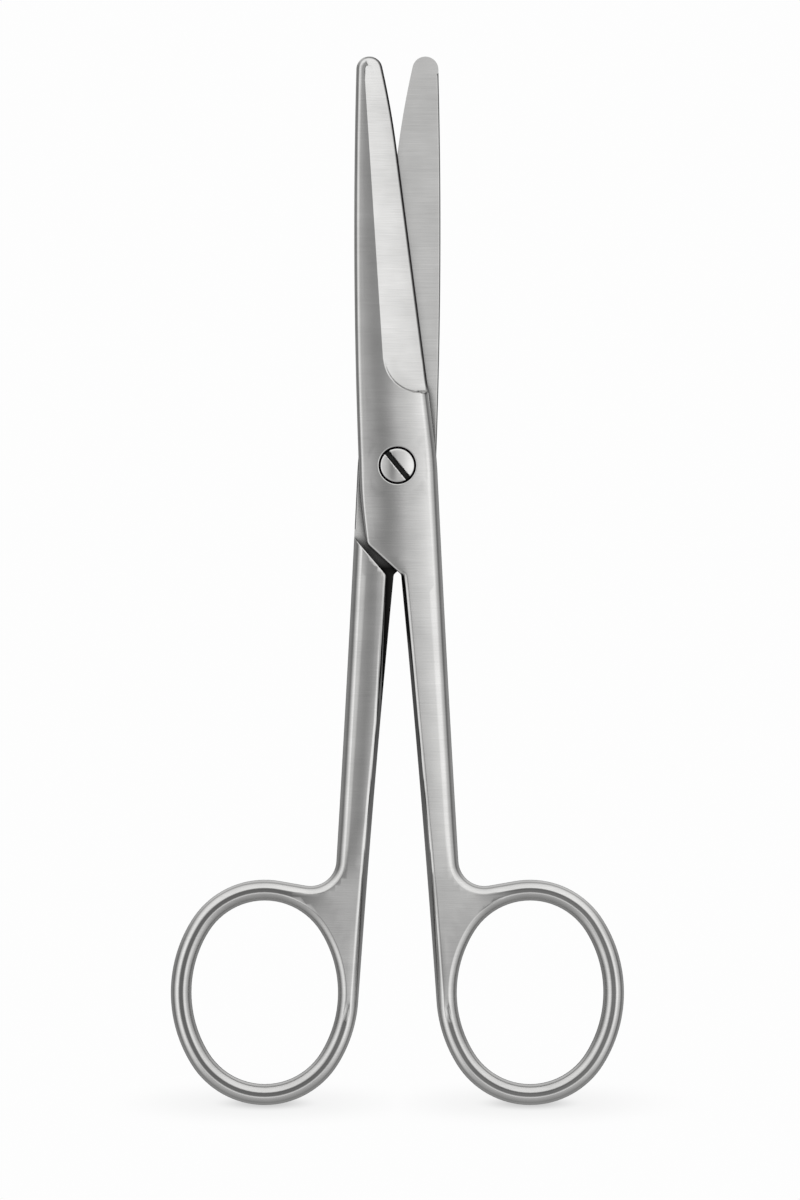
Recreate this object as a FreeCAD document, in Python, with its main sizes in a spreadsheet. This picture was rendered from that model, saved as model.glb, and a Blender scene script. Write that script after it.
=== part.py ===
import FreeCAD, Part
import math
import os

import Sketcher

V = FreeCAD.Vector
XY = V(0, 0, 1)

# Driving sizes in millimetres and degrees. One half is drawn closed and lying on the shear plane:
# x across, y from the pivot towards the tip, z away from the other half.
SIZES = [
    ("opening_angle", "7.4", "angle between the halves as the scissors lie"),
    ("shear_height", "3.02", "height of the shear plane above the surface they lie on"),
    ("shear_gap", "0.04", "play between the two inner faces"),
    ("lap_gap", "0.2", "play between the closed halves at the shoulder and along the shanks"),
    ("blade_length", "66.0", "pivot to tip"),
    ("tip_radius", "2.1", "blunt tip in plan"),
    ("tip_offset", "-0.38", "centre of the tip across the blade"),
    ("tip_lean", "5.2", "lean of the back where it meets the tip"),
    ("back_width", "6.2", "pivot to the back of the joint"),
    ("edge_width", "6.4", "pivot to the cutting side of the joint"),
    ("heel_height", "0.8", "where the cutting side turns into the shank"),
    ("heel_radius", "60.0", "that turn in plan"),
    ("belly_start", "51.0", "where the straight cutting edge starts to curve"),
    ("belly_width", "3.17", "cutting edge across from the pivot line at that place"),
    ("joint_thickness", "3.0", "half at the pivot"),
    ("blade_tip_thickness", "1.5", "half at the tip"),
    ("blade_root", "12.0", "where the blade starts to thin"),
    ("blank_spare", "1.0", "metal left above the faces of the blank before it is tapered"),
    ("joint_flat", "10.5", "level part of the joint below the pivot"),
    ("facet_ridge", "-1.2", "line where the ground facet starts"),
    ("facet_foot", "12.4", "lower end of the ground facet"),
    ("facet_radius", "5.2", "rounded run-out of the ground facet"),
    ("facet_slope", "25.0", "slope of the run-out wall from upright"),
    ("edge_height", "0.45", "facet above the inner face at the cutting edge"),
    ("edge_land", "0.08", "upright land left at the cutting edge"),
    ("edge_bevel", "0.3", "width of the honed edge"),
    ("corner_drop", "11.95", "pivot down to the lower back corner of the joint"),
    ("corner_width", "5.98", "lower back corner across from the pivot line"),
    ("corner_radius", "1.5", "that corner in plan"),
    ("crotch_drop", "17.6", "pivot down to the crotch"),
    ("crotch_radius", "0.7", "crotch corner in plan"),
    ("crotch_run", "2.1", "straight end of the inner side below the crotch"),
    ("shoulder_run", "4.0", "from the crotch down to the shank's own thickness"),
    ("shank_cross", "0.48", "how far a shank reaches over the middle line at the crotch"),
    ("shank_width", "5.72", "outer side of the shank at its end"),
    ("shank_run", "5.7", "straight end of the shank's outer side above the web"),
    ("shank_waist", "0.17", "hollow of the shank's outer side"),
    ("shank_thickness", "2.75", "half thickness of the shank below the shoulder"),
    ("ring_thickness", "2.05", "half thickness of the finger ring"),
    ("taper_ease", "150.0", "radius of the bends in the side view"),
    ("taper_run", "1.9", "where the shank has thinned to the ring, above the ring's top"),
    ("web_radius", "4.2", "fillet between shank and ring"),
    ("ring_across", "15.85", "centre of the finger ring across"),
    ("ring_drop", "86.0", "centre of the finger ring below the pivot"),
    ("ring_hole_width", "23.6", "opening across"),
    ("ring_hole_height", "29.6", "opening along"),
    ("ring_end_radius", "10.6", "radius of the opening's two ends"),
    ("ring_band", "3.3", "width of the ring's band"),
    ("ring_turn", "3.7", "lean of the ring's long axis"),
    ("outer_round", "1.4", "rounding outside the shank and ring"),
    ("inner_round", "1.35", "rounding inside the ring"),
    ("shank_bevel", "0.6", "rounding along the inner side of the shank"),
    ("back_round", "0.7", "rounding of the blade's back and tip"),
    ("rim_break", "0.25", "broken edge at the joint's lower end and along the lap"),
    ("screw_head", "5.5", "head diameter"),
    ("screw_head_depth", "1.15", "head below the joint's outer face"),
    ("screw_dome", "0.2", "crown of the head"),
    ("screw_neck", "3.2", "plain shank diameter"),
    ("screw_thread", "2.9", "threaded end diameter"),
    ("head_sink", "0.1", "head's rim below the joint's outer face"),
    ("slot_width", "0.8", "driver slot"),
    ("slot_depth", "0.75", "driver slot below the head's rim"),
    ("slot_turn", "-50.6", "slot as the screw is set"),
    ("head_gap", "0.25", "play round the head in its counterbore"),
    ("bearing_gap", "0.05", "play round the plain shank"),
    ("thread_gap", "0.02", "play round the thread"),
    ("seat_gap", "0.03", "play under the head and under the screw's shoulder"),
    ("counterbore_chamfer", "0.15", "broken edge of the counterbore"),
    ("tail_inset", "0.0", "screw's end inside the lower outer face"),
]

doc = FreeCAD.newDocument("DissectingScissors")
sheet = doc.addObject("Spreadsheet::Sheet", "Sizes")
for row, (alias, value, note) in enumerate(SIZES, start=1):
    sheet.set("A%d" % row, alias)
    sheet.set("B%d" % row, value)
    sheet.set("C%d" % row, note)
    sheet.setAlias("B%d" % row, alias)
doc.recompute()


def size(alias):
    """A driving size from the sheet."""
    return float(sheet.get(alias))


def turned(vector, degrees):
    """The vector turned about Z."""
    return FreeCAD.Rotation(XY, degrees).multVec(vector)


def rounded(before, corner, after, radius):
    """Arc of the radius that rounds a corner between two straight runs."""
    into = (corner - before).normalize()
    out = (after - corner).normalize()
    turn = into.getAngle(out)
    reach = radius * math.tan(turn / 2)
    start = corner - into * reach
    end = corner + out * reach
    inward = (out - into).normalize()
    middle = corner + inward * (radius / math.cos(turn / 2) - radius)
    return Part.Arc(start, middle, end)


def arc_leaving(start, direction, end):
    """Arc that leaves a point in a direction and ends at another."""
    chord = end - start
    across = V(-direction.y, direction.x, 0)
    radius = chord.dot(chord) / (2 * chord.dot(across))
    centre = start + across * radius
    middle = (start + end) / 2
    outward = (middle - centre).normalize()
    return Part.Arc(start, centre + outward * abs(radius), end)


def ring_arc(facing, grow):
    """Centre and radius of the arc of the ring's four-centred oval that faces a direction, and its limits."""
    half_width = size("ring_hole_width") / 2
    rise = size("ring_hole_height") / 2 - size("ring_end_radius")
    end_radius = size("ring_end_radius")
    side_radius = (half_width**2 + rise**2 - end_radius**2) / (2 * (half_width - end_radius))
    join = math.degrees(math.atan2(rise, side_radius - half_width))
    arcs = [
        (V(0, rise, 0), end_radius, 180 - join, join),
        (V(half_width - side_radius, 0, 0), side_radius, join, -join),
        (V(0, -rise, 0), end_radius, -join, join - 180),
        (V(side_radius - half_width, 0, 0), side_radius, join - 180, -180 - join),
    ]
    middle = V(size("ring_across"), -size("ring_drop"), 0)
    turns = math.floor((180 - join - facing) / 360) * 360
    for centre, radius, upper, lower in arcs:
        if lower <= facing + turns <= upper:
            return middle + turned(centre, -size("ring_turn")), radius + grow, lower - turns
    raise ValueError("no arc of the ring faces %s degrees" % facing)


def ring_point(facing, grow):
    """Point of the ring's oval that faces a direction, and the way round from there."""
    centre, radius, _ = ring_arc(facing, grow)
    outward = turned(V(1, 0, 0), facing - size("ring_turn"))
    return centre + outward * radius, V(outward.y, -outward.x, 0)


def ring_curve(first, last, grow):
    """Arcs round the ring's oval from one direction down to another, grown by a width."""
    arcs = []
    while first > last + 0.001:
        centre, radius, lower = ring_arc(first - 0.001, grow)
        end = max(lower, last)
        points = [
            centre + turned(V(radius, 0, 0), facing - size("ring_turn"))
            for facing in (first, (first + end) / 2, end)
        ]
        arcs.append(Part.Arc(*points))
        first = end
    return arcs


def crossing(p, d, q, e):
    """Where the line through p along d meets the line through q along e."""
    along = ((q - p).x * e.y - (q - p).y * e.x) / (d.x * e.y - d.y * e.x)
    return p + d * along


# Key points of the plan, shared by every sketch
RING_TOP_ANGLE = 100.0
RING_SIDE_ANGLE = -176.0
tip_centre = V(size("tip_offset"), size("blade_length") - size("tip_radius"), 0)
tip_top = tip_centre + V(0, size("tip_radius"), 0)
lean = math.radians(size("tip_lean"))
back_top = tip_centre + V(-math.cos(lean), math.sin(lean), 0) * size("tip_radius")
back_foot = V(-size("back_width"), 0, 0)
heel = V(size("edge_width"), size("heel_height"), 0)
belly = V(size("belly_width"), size("belly_start"), 0)
ring_top = -size("ring_drop") + size("ring_hole_height") / 2 + size("ring_band")
taper_end = ring_top + size("taper_run")
below_crotch = -size("crotch_drop") - size("shoulder_run")
shank_end = V(size("shank_width"), ring_top + size("web_radius") + size("shank_run"), 0)
corner = V(-size("corner_width"), -size("corner_drop"), 0)
crotch = V(-size("shank_cross"), -size("crotch_drop"), 0)


def belly_arc():
    """Arc from the tip's circle to the straight cutting edge, tangent to both."""
    up = (belly - heel).normalize()
    inward = V(-up.y, up.x, 0)
    reach = belly - tip_centre
    tip = size("tip_radius")
    radius = (tip * tip - reach.dot(reach)) / (2 * (inward.dot(reach) + tip))
    centre = belly + inward * radius
    touch = tip_centre + (tip_centre - centre).normalize() * tip
    middle = (touch + belly) / 2
    outward = (middle - centre).normalize()
    return Part.Arc(touch, centre + outward * radius, belly), touch


def heel_curve():
    """Gentle turn from the cutting side into the shank's outer side."""
    middle = (heel + shank_end) / 2
    return rounded(belly, heel, V(middle.x - size("shank_waist"), middle.y, 0), size("heel_radius"))


def shank_side():
    """Outer side of the shank, a very flat hollow arc from the heel."""
    turn = heel_curve().toShape()
    return arc_leaving(turn.valueAt(turn.LastParameter), turn.tangentAt(turn.LastParameter), shank_end)


def web_and_ring():
    """Web fillet and ring, from the shank's outer end to the ring's inner side."""
    side = shank_side().toShape()
    down = side.tangentAt(side.LastParameter)
    top, along = ring_point(RING_TOP_ANGLE, size("ring_band"))
    web = rounded(shank_end, crossing(shank_end, down, top, along), top, size("web_radius"))
    start, end = ends(web)
    return [
        Part.LineSegment(shank_end, start),
        web,
        Part.LineSegment(end, top),
        *ring_curve(RING_TOP_ANGLE, RING_SIDE_ANGLE, size("ring_band")),
    ]


def inner_side():
    """Inner side of the shank from the ring to just under the crotch."""
    foot, along = ring_point(RING_SIDE_ANGLE, size("ring_band"))
    return arc_leaving(foot, along, crotch - V(0, size("crotch_run"), 0))


def crotch_curves():
    """Run up the shank's inner side, round the crotch and along the joint's lower end to its back corner."""
    side = inner_side().toShape()
    low, up = side.valueAt(side.LastParameter), side.tangentAt(side.LastParameter)
    slant = (corner - crotch).normalize()
    meet = crossing(low, up, crotch, slant)
    crotch_curve = rounded(low, meet, corner, size("crotch_radius"))
    back = back_curve().toShape()
    leaving = back.tangentAt(back.LastParameter)
    flank = arc_leaving(back_foot, leaving, V(-size("corner_width"), -size("corner_drop") * 0.7, 0))
    edge = flank.toShape()
    flank_end, down = edge.valueAt(edge.LastParameter), edge.tangentAt(edge.LastParameter)
    far = crossing(flank_end, down, crotch, slant)
    corner_curve = rounded(flank_end, far, crotch, size("corner_radius"))
    return [
        flank,
        Part.LineSegment(flank_end, ends(corner_curve)[0]),
        corner_curve,
        Part.LineSegment(ends(corner_curve)[1], ends(crotch_curve)[1]),
        crotch_curve,
        Part.LineSegment(ends(crotch_curve)[0], low),
    ]


def back_curve():
    """Back of the blade, a flat arc from the tip to the pivot."""
    down = V(-math.sin(lean), -math.cos(lean), 0)
    return arc_leaving(back_top, down, back_foot)


def body_plane(body, role):
    """One of the body's own origin planes."""
    for feature in body.Origin.OriginFeatures:
        if feature.Role == role:
            return feature


def new_sketch(body, name, curves, plane="XY_Plane", offset=None):
    """Sketch in the body with the curves joined end to end."""
    sketch = body.newObject("Sketcher::SketchObject", name)
    sketch.AttachmentSupport = [(body_plane(body, plane), "")]
    sketch.MapMode = "FlatFace"
    if offset:
        sketch.AttachmentOffset = offset
    for curve in curves:
        sketch.addGeometry(curve, False)
    return sketch


def path_through(points):
    """Straight runs through the points, closed."""
    return [Part.LineSegment(a, b) for a, b in zip(points, points[1:] + points[:1])]


def ends(curve):
    """First and last point of a curve."""
    edge = curve.toShape()
    return edge.valueAt(edge.FirstParameter), edge.valueAt(edge.LastParameter)


def half_outline():
    """Plan of the half on its own side of the shear plane."""
    belly_curve, touch = belly_arc()
    turn = heel_curve()
    return [
        *shank_outline()[:-2],
        *crotch_curves(),
        Part.Arc(touch, tip_top, back_top),
        back_curve(),
        belly_curve,
        Part.LineSegment(belly, ends(turn)[0]),
    ]


def shank_outline():
    """Plan of the half's shank and ring beyond the shear plane, before the lap is cut away."""
    turn = heel_curve()
    side = inner_side()
    high = V(crotch.x, ends(turn)[0].y, 0)
    return [
        turn,
        shank_side(),
        *web_and_ring(),
        side,
        Part.LineSegment(ends(side)[1], high),
        Part.LineSegment(high, ends(turn)[0]),
    ]


def ring_opening():
    """Plan of the ring's opening."""
    first = ring_arc(90, 0)[2]
    return ring_curve(first, first - 360, 0)


def lap_outline():
    """Plan of what is cut away beyond the shear plane so that the other half's joint can swing in."""
    gap = size("lap_gap")
    side = inner_side().toShape()
    middle = side.valueAt((side.FirstParameter + side.LastParameter) / 2)
    foot, low = [V(gap - p.x, p.y, 0) for p in ends(inner_side())]
    wall = Part.Arc(foot, V(gap - middle.x, middle.y, 0), low)
    up = wall.toShape().tangentAt(wall.toShape().LastParameter)
    other_corner = V(size("corner_width"), -size("corner_drop"), 0) + V(1, -1, 0) * (gap / math.sqrt(2))
    slant = (corner - crotch).normalize()
    slant.x = -slant.x
    inner_corner = crossing(low, up, other_corner, slant)
    bend = rounded(low, inner_corner, other_corner, size("crotch_radius") + gap)
    past = other_corner + slant * size("shoulder_run")
    clear = V(-size("back_width"), 2 * size("heel_height") + size("shoulder_run"), 0)
    left = V(clear.x, foot.y, 0)
    return [
        wall,
        Part.LineSegment(low, ends(bend)[0]),
        bend,
        Part.LineSegment(ends(bend)[1], past),
        Part.LineSegment(past, V(past.x, clear.y, 0)),
        Part.LineSegment(V(past.x, clear.y, 0), clear),
        Part.LineSegment(clear, left),
        Part.LineSegment(left, foot),
    ]


def side_trim(side, stations, far):
    """Side view of what is trimmed off above a run of (y, thickness) stations, their bends eased."""
    points = [V(y, side * z, 0) for y, z in stations]
    bends = [rounded(p, q, r, size("taper_ease")) for p, q, r in zip(points, points[1:], points[2:])]
    curves = []
    last = points[0]
    for bend in bends:
        start, end = ends(bend)
        if start.distanceToPoint(last) > end.distanceToPoint(last):
            start, end = end, start
        curves += [Part.LineSegment(last, start), bend]
        last = end
    high = [V(points[-1].x, side * far, 0), V(points[0].x, side * far, 0)]
    runs = [last, points[-1]] + high + [points[0]]
    return curves + [Part.LineSegment(p, q) for p, q in zip(runs, runs[1:])]


def facet_section(spread):
    """Plan of the ground facet's cut in its own plane, grown by a spread."""
    radius = size("facet_radius") + spread
    foot = -spread
    far_side = 2 * (size("edge_width") - size("facet_ridge"))
    far_end = size("blade_length")
    bend = V(-spread, foot + radius, 0)
    low = V(radius - spread, foot, 0)
    middle = V(radius - spread, foot + radius, 0) - V(1, 1, 0) * (radius / math.sqrt(2))
    return [
        Part.LineSegment(V(-spread, far_end, 0), bend),
        Part.Arc(bend, middle, low),
        Part.LineSegment(low, V(far_side, foot, 0)),
        Part.LineSegment(V(far_side, foot, 0), V(far_side, far_end, 0)),
        Part.LineSegment(V(far_side, far_end, 0), V(-spread, far_end, 0)),
    ]


def facet_placement():
    """Plane of the ground facet, sloping down to the cutting edge and to the tip."""
    foot = size("facet_foot")
    along = (belly - heel).normalize()
    edge_across = belly.x + along.x * (foot - belly.y) / along.y
    crest = size("joint_thickness") + tip_fall() * (size("blade_root") - foot)
    fall = (crest - size("edge_height")) / (edge_across - size("facet_ridge"))
    forward = V(0, 1, -tip_fall()).normalize()
    outward = V(fall, tip_fall(), 1).normalize()
    across = forward.cross(outward)
    rotation = FreeCAD.Rotation(across, forward, outward, "XYZ")
    return FreeCAD.Placement(V(size("facet_ridge"), foot, crest), rotation)


def tip_fall():
    """Fall of the blade's crest for each millimetre towards the tip."""
    fall = size("joint_thickness") - size("blade_tip_thickness")
    return fall / (size("blade_length") - size("blade_root"))


def half_blank(name):
    """Body of one half as forged: plan, lap and tapers, with square rims."""
    body = doc.addObject("PartDesign::Body", name)
    own = body.newObject("PartDesign::Pad", name + "OwnSide")
    own.Profile = new_sketch(body, name + "Plan", half_outline() + ring_opening())
    own.setExpression("Length", "Sizes.joint_thickness + Sizes.blank_spare")
    beyond = body.newObject("PartDesign::Pad", name + "FarSide")
    beyond.Profile = new_sketch(body, name + "FarPlan", shank_outline() + ring_opening())
    beyond.Reversed = True
    beyond.setExpression("Length", "Sizes.joint_thickness")
    doc.recompute()
    lap = body.newObject("PartDesign::Pocket", name + "Lap")
    lap.Profile = new_sketch(body, name + "LapPlan", lap_outline())
    lap.setExpression("Length", "Sizes.joint_thickness + Sizes.blank_spare")
    doc.recompute()

    top = size("blade_length") + size("tip_radius")
    ring = [(taper_end, size("ring_thickness")), (-2 * size("ring_drop"), size("ring_thickness"))]
    own_side = [
        (top, size("joint_thickness") - tip_fall() * (top - size("blade_root"))),
        (size("blade_root"), size("joint_thickness")),
        (-size("joint_flat"), size("joint_thickness")),
        (below_crotch, size("shank_thickness")),
        *ring,
    ]
    far_side = [(top, size("shank_thickness")), (below_crotch, size("shank_thickness")), *ring]
    for side, stations, label in ((1, own_side, "OwnTaper"), (-1, far_side, "FarTaper")):
        taper = body.newObject("PartDesign::Pocket", name + label)
        profile = side_trim(side, stations, 4 * size("joint_thickness"))
        taper.Profile = new_sketch(body, name + label + "Side", profile, "YZ_Plane")
        taper.SideType = "Symmetric"
        taper.setExpression("Length", "2 * Sizes.ring_drop")
        doc.recompute()
    return body


def wall_normal(face, point):
    """Direction of a face at a point on it."""
    u, v = face.Surface.parameter(point)
    return face.normalAt(u, v)


def rim_edges(shape):
    """Rim edges of a blank, where its outer faces turn down into the walls, with their numbers."""
    rims = []
    for number, edge in enumerate(shape.Edges, start=1):
        middle = edge.valueAt((edge.FirstParameter + edge.LastParameter) / 2)
        if abs(middle.z) < 1 or on_shoulder(middle):
            continue
        tilts = sorted(abs(wall_normal(f, middle).z) for f in shape.ancestorsOfType(edge, Part.Face))
        if tilts[0] < 0.2 and tilts[-1] > 0.8:
            rims.append((number, edge, middle))
    return rims


def on_shoulder(point):
    """Whether a rim point lies on the shoulder, which keeps its edge."""
    past_crotch = -size("crotch_drop") - size("crotch_run")
    return point.z < 0 and point.y > past_crotch and point.x < size("edge_width") - size("shank_bevel")


def rim_radius(point, in_ring):
    """Rounding of the rim at a point of it."""
    if in_ring:
        return size("inner_round")
    if point.y < -size("ring_drop"):
        return size("outer_round")
    if point.x > size("shank_width") / 2:
        share = min(max(point.y / below_crotch, 0), 1)
        return size("back_round") + (size("outer_round") - size("back_round")) * share
    if point.y < taper_end:
        share = (taper_end - point.y) / (taper_end + size("ring_drop"))
        return size("shank_bevel") + (size("outer_round") - size("shank_bevel")) * share
    if point.z < 0:
        return size("rim_break")
    if point.y < -size("crotch_drop") - size("crotch_run"):
        return size("shank_bevel")
    if point.y < -size("joint_flat"):
        return size("rim_break")
    return size("back_round")


def rounded_half(name, blank):
    """The blank with its rims rounded, more round the ring and less along the lap."""
    middle = V(size("ring_across"), -size("ring_drop"), 0)
    reach = size("ring_hole_height") / 2 + size("ring_band") / 2
    rims = []
    for number, edge, at in rim_edges(blank.Shape):
        in_ring = V(at.x, at.y, 0).distanceToPoint(middle) < reach and on_opening(edge)
        first, last = (edge.valueAt(t) for t in (edge.FirstParameter, edge.LastParameter))
        rims.append((number, rim_radius(first, in_ring), rim_radius(last, in_ring)))
    rounding = doc.addObject("Part::Fillet", name)
    rounding.Base = blank
    rounding.Edges = rims
    doc.recompute()
    return rounding


def on_opening(edge):
    """Whether a rim edge belongs to the ring's opening: its arc bends about a centre inside the opening."""
    middle = edge.valueAt((edge.FirstParameter + edge.LastParameter) / 2)
    openings = [curve.toShape() for curve in ring_opening()]
    flat = Part.Vertex(V(middle.x, middle.y, 0))
    return min(flat.distToShape(shape)[0] for shape in openings) < 0.01


def turned_profile(body, name, points, curves=()):
    """Profile in the body's upright plane for a turned feature, through (radius, height) points."""
    runs = [Part.LineSegment(V(*a, 0), V(*b, 0)) for a, b in zip(points, points[1:])]
    return new_sketch(body, name, runs + list(curves), "XZ_Plane")


def turned_feature(body, kind, name, profile):
    """A full turn of the profile about the body's own upright axis."""
    feature = body.newObject(kind, name)
    feature.Profile = profile
    feature.ReferenceAxis = (body_plane(body, "Z_Axis"), [""])
    feature.Angle = 360
    doc.recompute()
    return feature


def screw_bore(body, name):
    """Counterbored running bore for the pivot screw."""
    top = size("joint_thickness")
    bore = (size("screw_neck") + size("bearing_gap") * 2) / 2
    counterbore = (size("screw_head") + size("head_gap") * 2) / 2
    seat = top - size("screw_head_depth")
    chamfer = size("counterbore_chamfer")
    points = [
        (0, -1),
        (bore, -1),
        (bore, seat),
        (counterbore, seat),
        (counterbore, top - chamfer),
        (counterbore + chamfer + 1, top + 1),
        (0, top + 1),
        (0, -1),
    ]
    turned_feature(body, "PartDesign::Groove", name + "Bore", turned_profile(body, name + "BoreSide", points))


def threaded_bore(body, name):
    """Through bore for the screw's threaded end, its outer rim broken."""
    top = size("joint_thickness")
    bore = size("screw_thread") / 2 + size("thread_gap")
    chamfer = size("counterbore_chamfer")
    points = [(0, -1), (bore, -1), (bore, top - chamfer), (bore + chamfer + 1, top + 1), (0, top + 1), (0, -1)]
    turned_feature(body, "PartDesign::Groove", name + "Bore", turned_profile(body, name + "BoreSide", points))


def honing_section(inset):
    """Plan of the honed bevel's cut at one height, its boundary set in from the cutting edge."""
    curve, touch = belly_arc()
    edge = curve.toShape()
    radius = edge.Curve.Radius
    centre = edge.Curve.Center
    tip_end, middle, start = (
        centre + (edge.valueAt(t) - centre) * ((radius - inset) / radius)
        for t in (edge.FirstParameter, (edge.FirstParameter + edge.LastParameter) / 2, edge.LastParameter)
    )
    down = (heel - belly).normalize()
    foot = start + down * ((start.y - size("facet_foot")) / -down.y)
    clear = 2 * size("edge_width")
    past_tip = size("blade_length") + size("tip_radius")
    up = edge.tangentAt(edge.FirstParameter if edge.valueAt(edge.FirstParameter).y > belly.y + 1
                        else edge.LastParameter)
    up = up * math.copysign(1, up.y)
    beyond = tip_end + up * ((past_tip - tip_end.y) / up.y)
    return [
        Part.LineSegment(beyond, tip_end),
        Part.Arc(tip_end, middle, start),
        Part.LineSegment(start, foot),
        Part.LineSegment(foot, V(clear, foot.y, 0)),
        Part.LineSegment(V(clear, foot.y, 0), V(clear, past_tip, 0)),
        Part.LineSegment(V(clear, past_tip, 0), beyond),
    ]


def finished_half(name, label, rounding, drill):
    """Body of a half with its facet ground, its edge honed and its bore drilled."""
    body = doc.addObject("PartDesign::Body", name)
    body.BaseFeature = rounding
    body.Label = label
    doc.recompute()
    flat = facet_placement()
    height = 2 * size("joint_thickness")
    raised = flat.multiply(FreeCAD.Placement(V(0, 0, height), FreeCAD.Rotation()))
    spread = height * math.tan(math.radians(size("facet_slope")))
    facet = body.newObject("PartDesign::SubtractiveLoft", name + "FacetCut")
    facet.Profile = new_sketch(body, name + "Facet", facet_section(0), offset=flat)
    facet.Sections = [new_sketch(body, name + "FacetTop", facet_section(spread), offset=raised)]
    facet.Ruled = True
    doc.recompute()
    land = FreeCAD.Placement(V(0, 0, size("edge_land")), FreeCAD.Rotation())
    risen = FreeCAD.Placement(V(0, 0, size("edge_height")), FreeCAD.Rotation())
    past = 2 * size("edge_bevel")
    risen.Base.z += size("edge_height") - size("edge_land")
    honing = body.newObject("PartDesign::SubtractiveLoft", name + "Edge")
    honing.Profile = new_sketch(body, name + "Honed", honing_section(0), offset=land)
    honing.Sections = [new_sketch(body, name + "HonedTop", honing_section(past), offset=risen)]
    honing.Ruled = True
    doc.recompute()
    drill(body, name)
    return body


def pivot_screw():
    """Slotted screw with a low domed head, a plain neck and a threaded end."""
    body = doc.addObject("PartDesign::Body", "PivotScrew")
    body.Label = "pivot_screw"
    face = size("shear_height") + size("shear_gap") / 2 + size("joint_thickness")
    seat = face - size("screw_head_depth") + size("seat_gap")
    shoulder = size("shear_height") - size("shear_gap") / 2 + size("seat_gap")
    rim = face - size("head_sink")
    head, neck, thread = (size(a) / 2 for a in ("screw_head", "screw_neck", "screw_thread"))
    chamfer = size("counterbore_chamfer")
    tail = size("tail_inset")
    points = [
        (0, tail),
        (thread - chamfer, tail),
        (thread, tail + chamfer),
        (thread, shoulder),
        (neck, shoulder),
        (neck, seat),
        (head, seat),
        (head, rim),
    ]
    crown = V(0, rim + size("screw_dome"), 0)
    radius = (head**2 + size("screw_dome") ** 2) / (2 * size("screw_dome"))
    centre = crown - V(0, radius, 0)
    between = centre + (V(head / 2, 0, 0) + V(0, math.sqrt(radius**2 - head**2 / 4), 0))
    dome = Part.Arc(V(head, rim, 0), between, crown)
    profile = turned_profile(body, "ScrewSide", points, [dome, Part.LineSegment(crown, V(0, tail, 0))])
    turned_feature(body, "PartDesign::Revolution", "ScrewTurned", profile)
    half_slot = size("slot_width") / 2
    corners = [(-head, -half_slot), (head, -half_slot), (head, half_slot), (-head, half_slot)]
    turn = FreeCAD.Rotation(XY, size("slot_turn"))
    above = FreeCAD.Placement(V(0, 0, crown.y), turn)
    slot = body.newObject("PartDesign::Pocket", "ScrewSlot")
    slot.Profile = new_sketch(body, "SlotPlan", path_through([V(*c, 0) for c in corners]), offset=above)
    slot.setExpression("Length", "Sizes.slot_depth + Sizes.screw_dome")
    doc.recompute()
    return body


front = finished_half("FrontHalf", "front_half", rounded_half("FrontRounded", half_blank("FrontBlank")), screw_bore)
rear = finished_half("RearHalf", "rear_half", rounded_half("RearRounded", half_blank("RearBlank")), threaded_bore)
screw = pivot_screw()
PLACE = "create(<<placement>>; create(<<vector>>; 0; 0; %s); create(<<rotation>>; %s; %s; 0))"
front.setExpression("Placement", PLACE % ("Sizes.shear_height + Sizes.shear_gap / 2", "Sizes.opening_angle / 2", "0"))
rear.setExpression("Placement", PLACE % ("Sizes.shear_height - Sizes.shear_gap / 2", "-Sizes.opening_angle / 2", "180"))
doc.recompute()

for item in doc.Objects:
    if "Invalid" in item.State or "Error" in item.State:
        raise RuntimeError("%s failed: %s" % (item.Label, item.State))

os.makedirs("parts", exist_ok=True)
for piece in (front, rear, screw):
    if piece.Shape.isNull() or not piece.Shape.isValid():
        raise RuntimeError("%s has no valid shape" % piece.Label)
    piece.Shape.exportStep("parts/%s.step" % piece.Label)
    box = piece.Shape.BoundBox
    print("%s: %d solid, %.1f mm3, x %.2f to %.2f, y %.2f to %.2f, z %.2f to %.2f" % (
        piece.Label, len(piece.Shape.Solids), piece.Shape.Volume,
        box.XMin, box.XMax, box.YMin, box.YMax, box.ZMin, box.ZMax))
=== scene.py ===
import math
from types import SimpleNamespace

import bmesh
import bpy
import numpy as np
from bpy.props import FloatProperty, FloatVectorProperty, PointerProperty
from mathutils import Matrix, Vector


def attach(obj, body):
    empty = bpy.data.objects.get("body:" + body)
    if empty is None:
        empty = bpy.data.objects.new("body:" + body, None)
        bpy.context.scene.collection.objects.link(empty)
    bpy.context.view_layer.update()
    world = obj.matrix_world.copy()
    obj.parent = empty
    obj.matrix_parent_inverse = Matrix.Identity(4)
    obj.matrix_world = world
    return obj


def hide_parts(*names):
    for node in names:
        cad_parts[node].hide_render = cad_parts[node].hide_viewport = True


bl_info = {
    "name": "Dissecting scissors",
    "version": (1, 0, 0),
    "blender": (4, 5, 0),
    "location": "View3D > Sidebar > Scissors",
    "description": "Brushed steel dissecting scissors with a slotted pivot screw",
    "category": "Add Mesh",
}

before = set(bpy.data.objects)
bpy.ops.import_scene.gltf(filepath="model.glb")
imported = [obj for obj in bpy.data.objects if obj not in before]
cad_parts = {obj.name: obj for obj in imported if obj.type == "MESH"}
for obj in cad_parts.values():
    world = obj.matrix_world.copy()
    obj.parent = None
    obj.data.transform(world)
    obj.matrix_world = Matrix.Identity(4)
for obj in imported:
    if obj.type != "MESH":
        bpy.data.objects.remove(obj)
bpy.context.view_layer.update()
MM = 0.001

# The plan is drawn with edges up to this length and turns up to this angle, and its inside is cut into a grid
# that is finer up to some height on the facet and starts at this share of its pitch
PITCH = 0.9
FINEST_TURN = math.radians(7)
GRID = (0.9, 1.1)
FINE_GRID = (0.6, 0.5)
FINE_REACH = 6
GRID_START = 0.47

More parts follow.
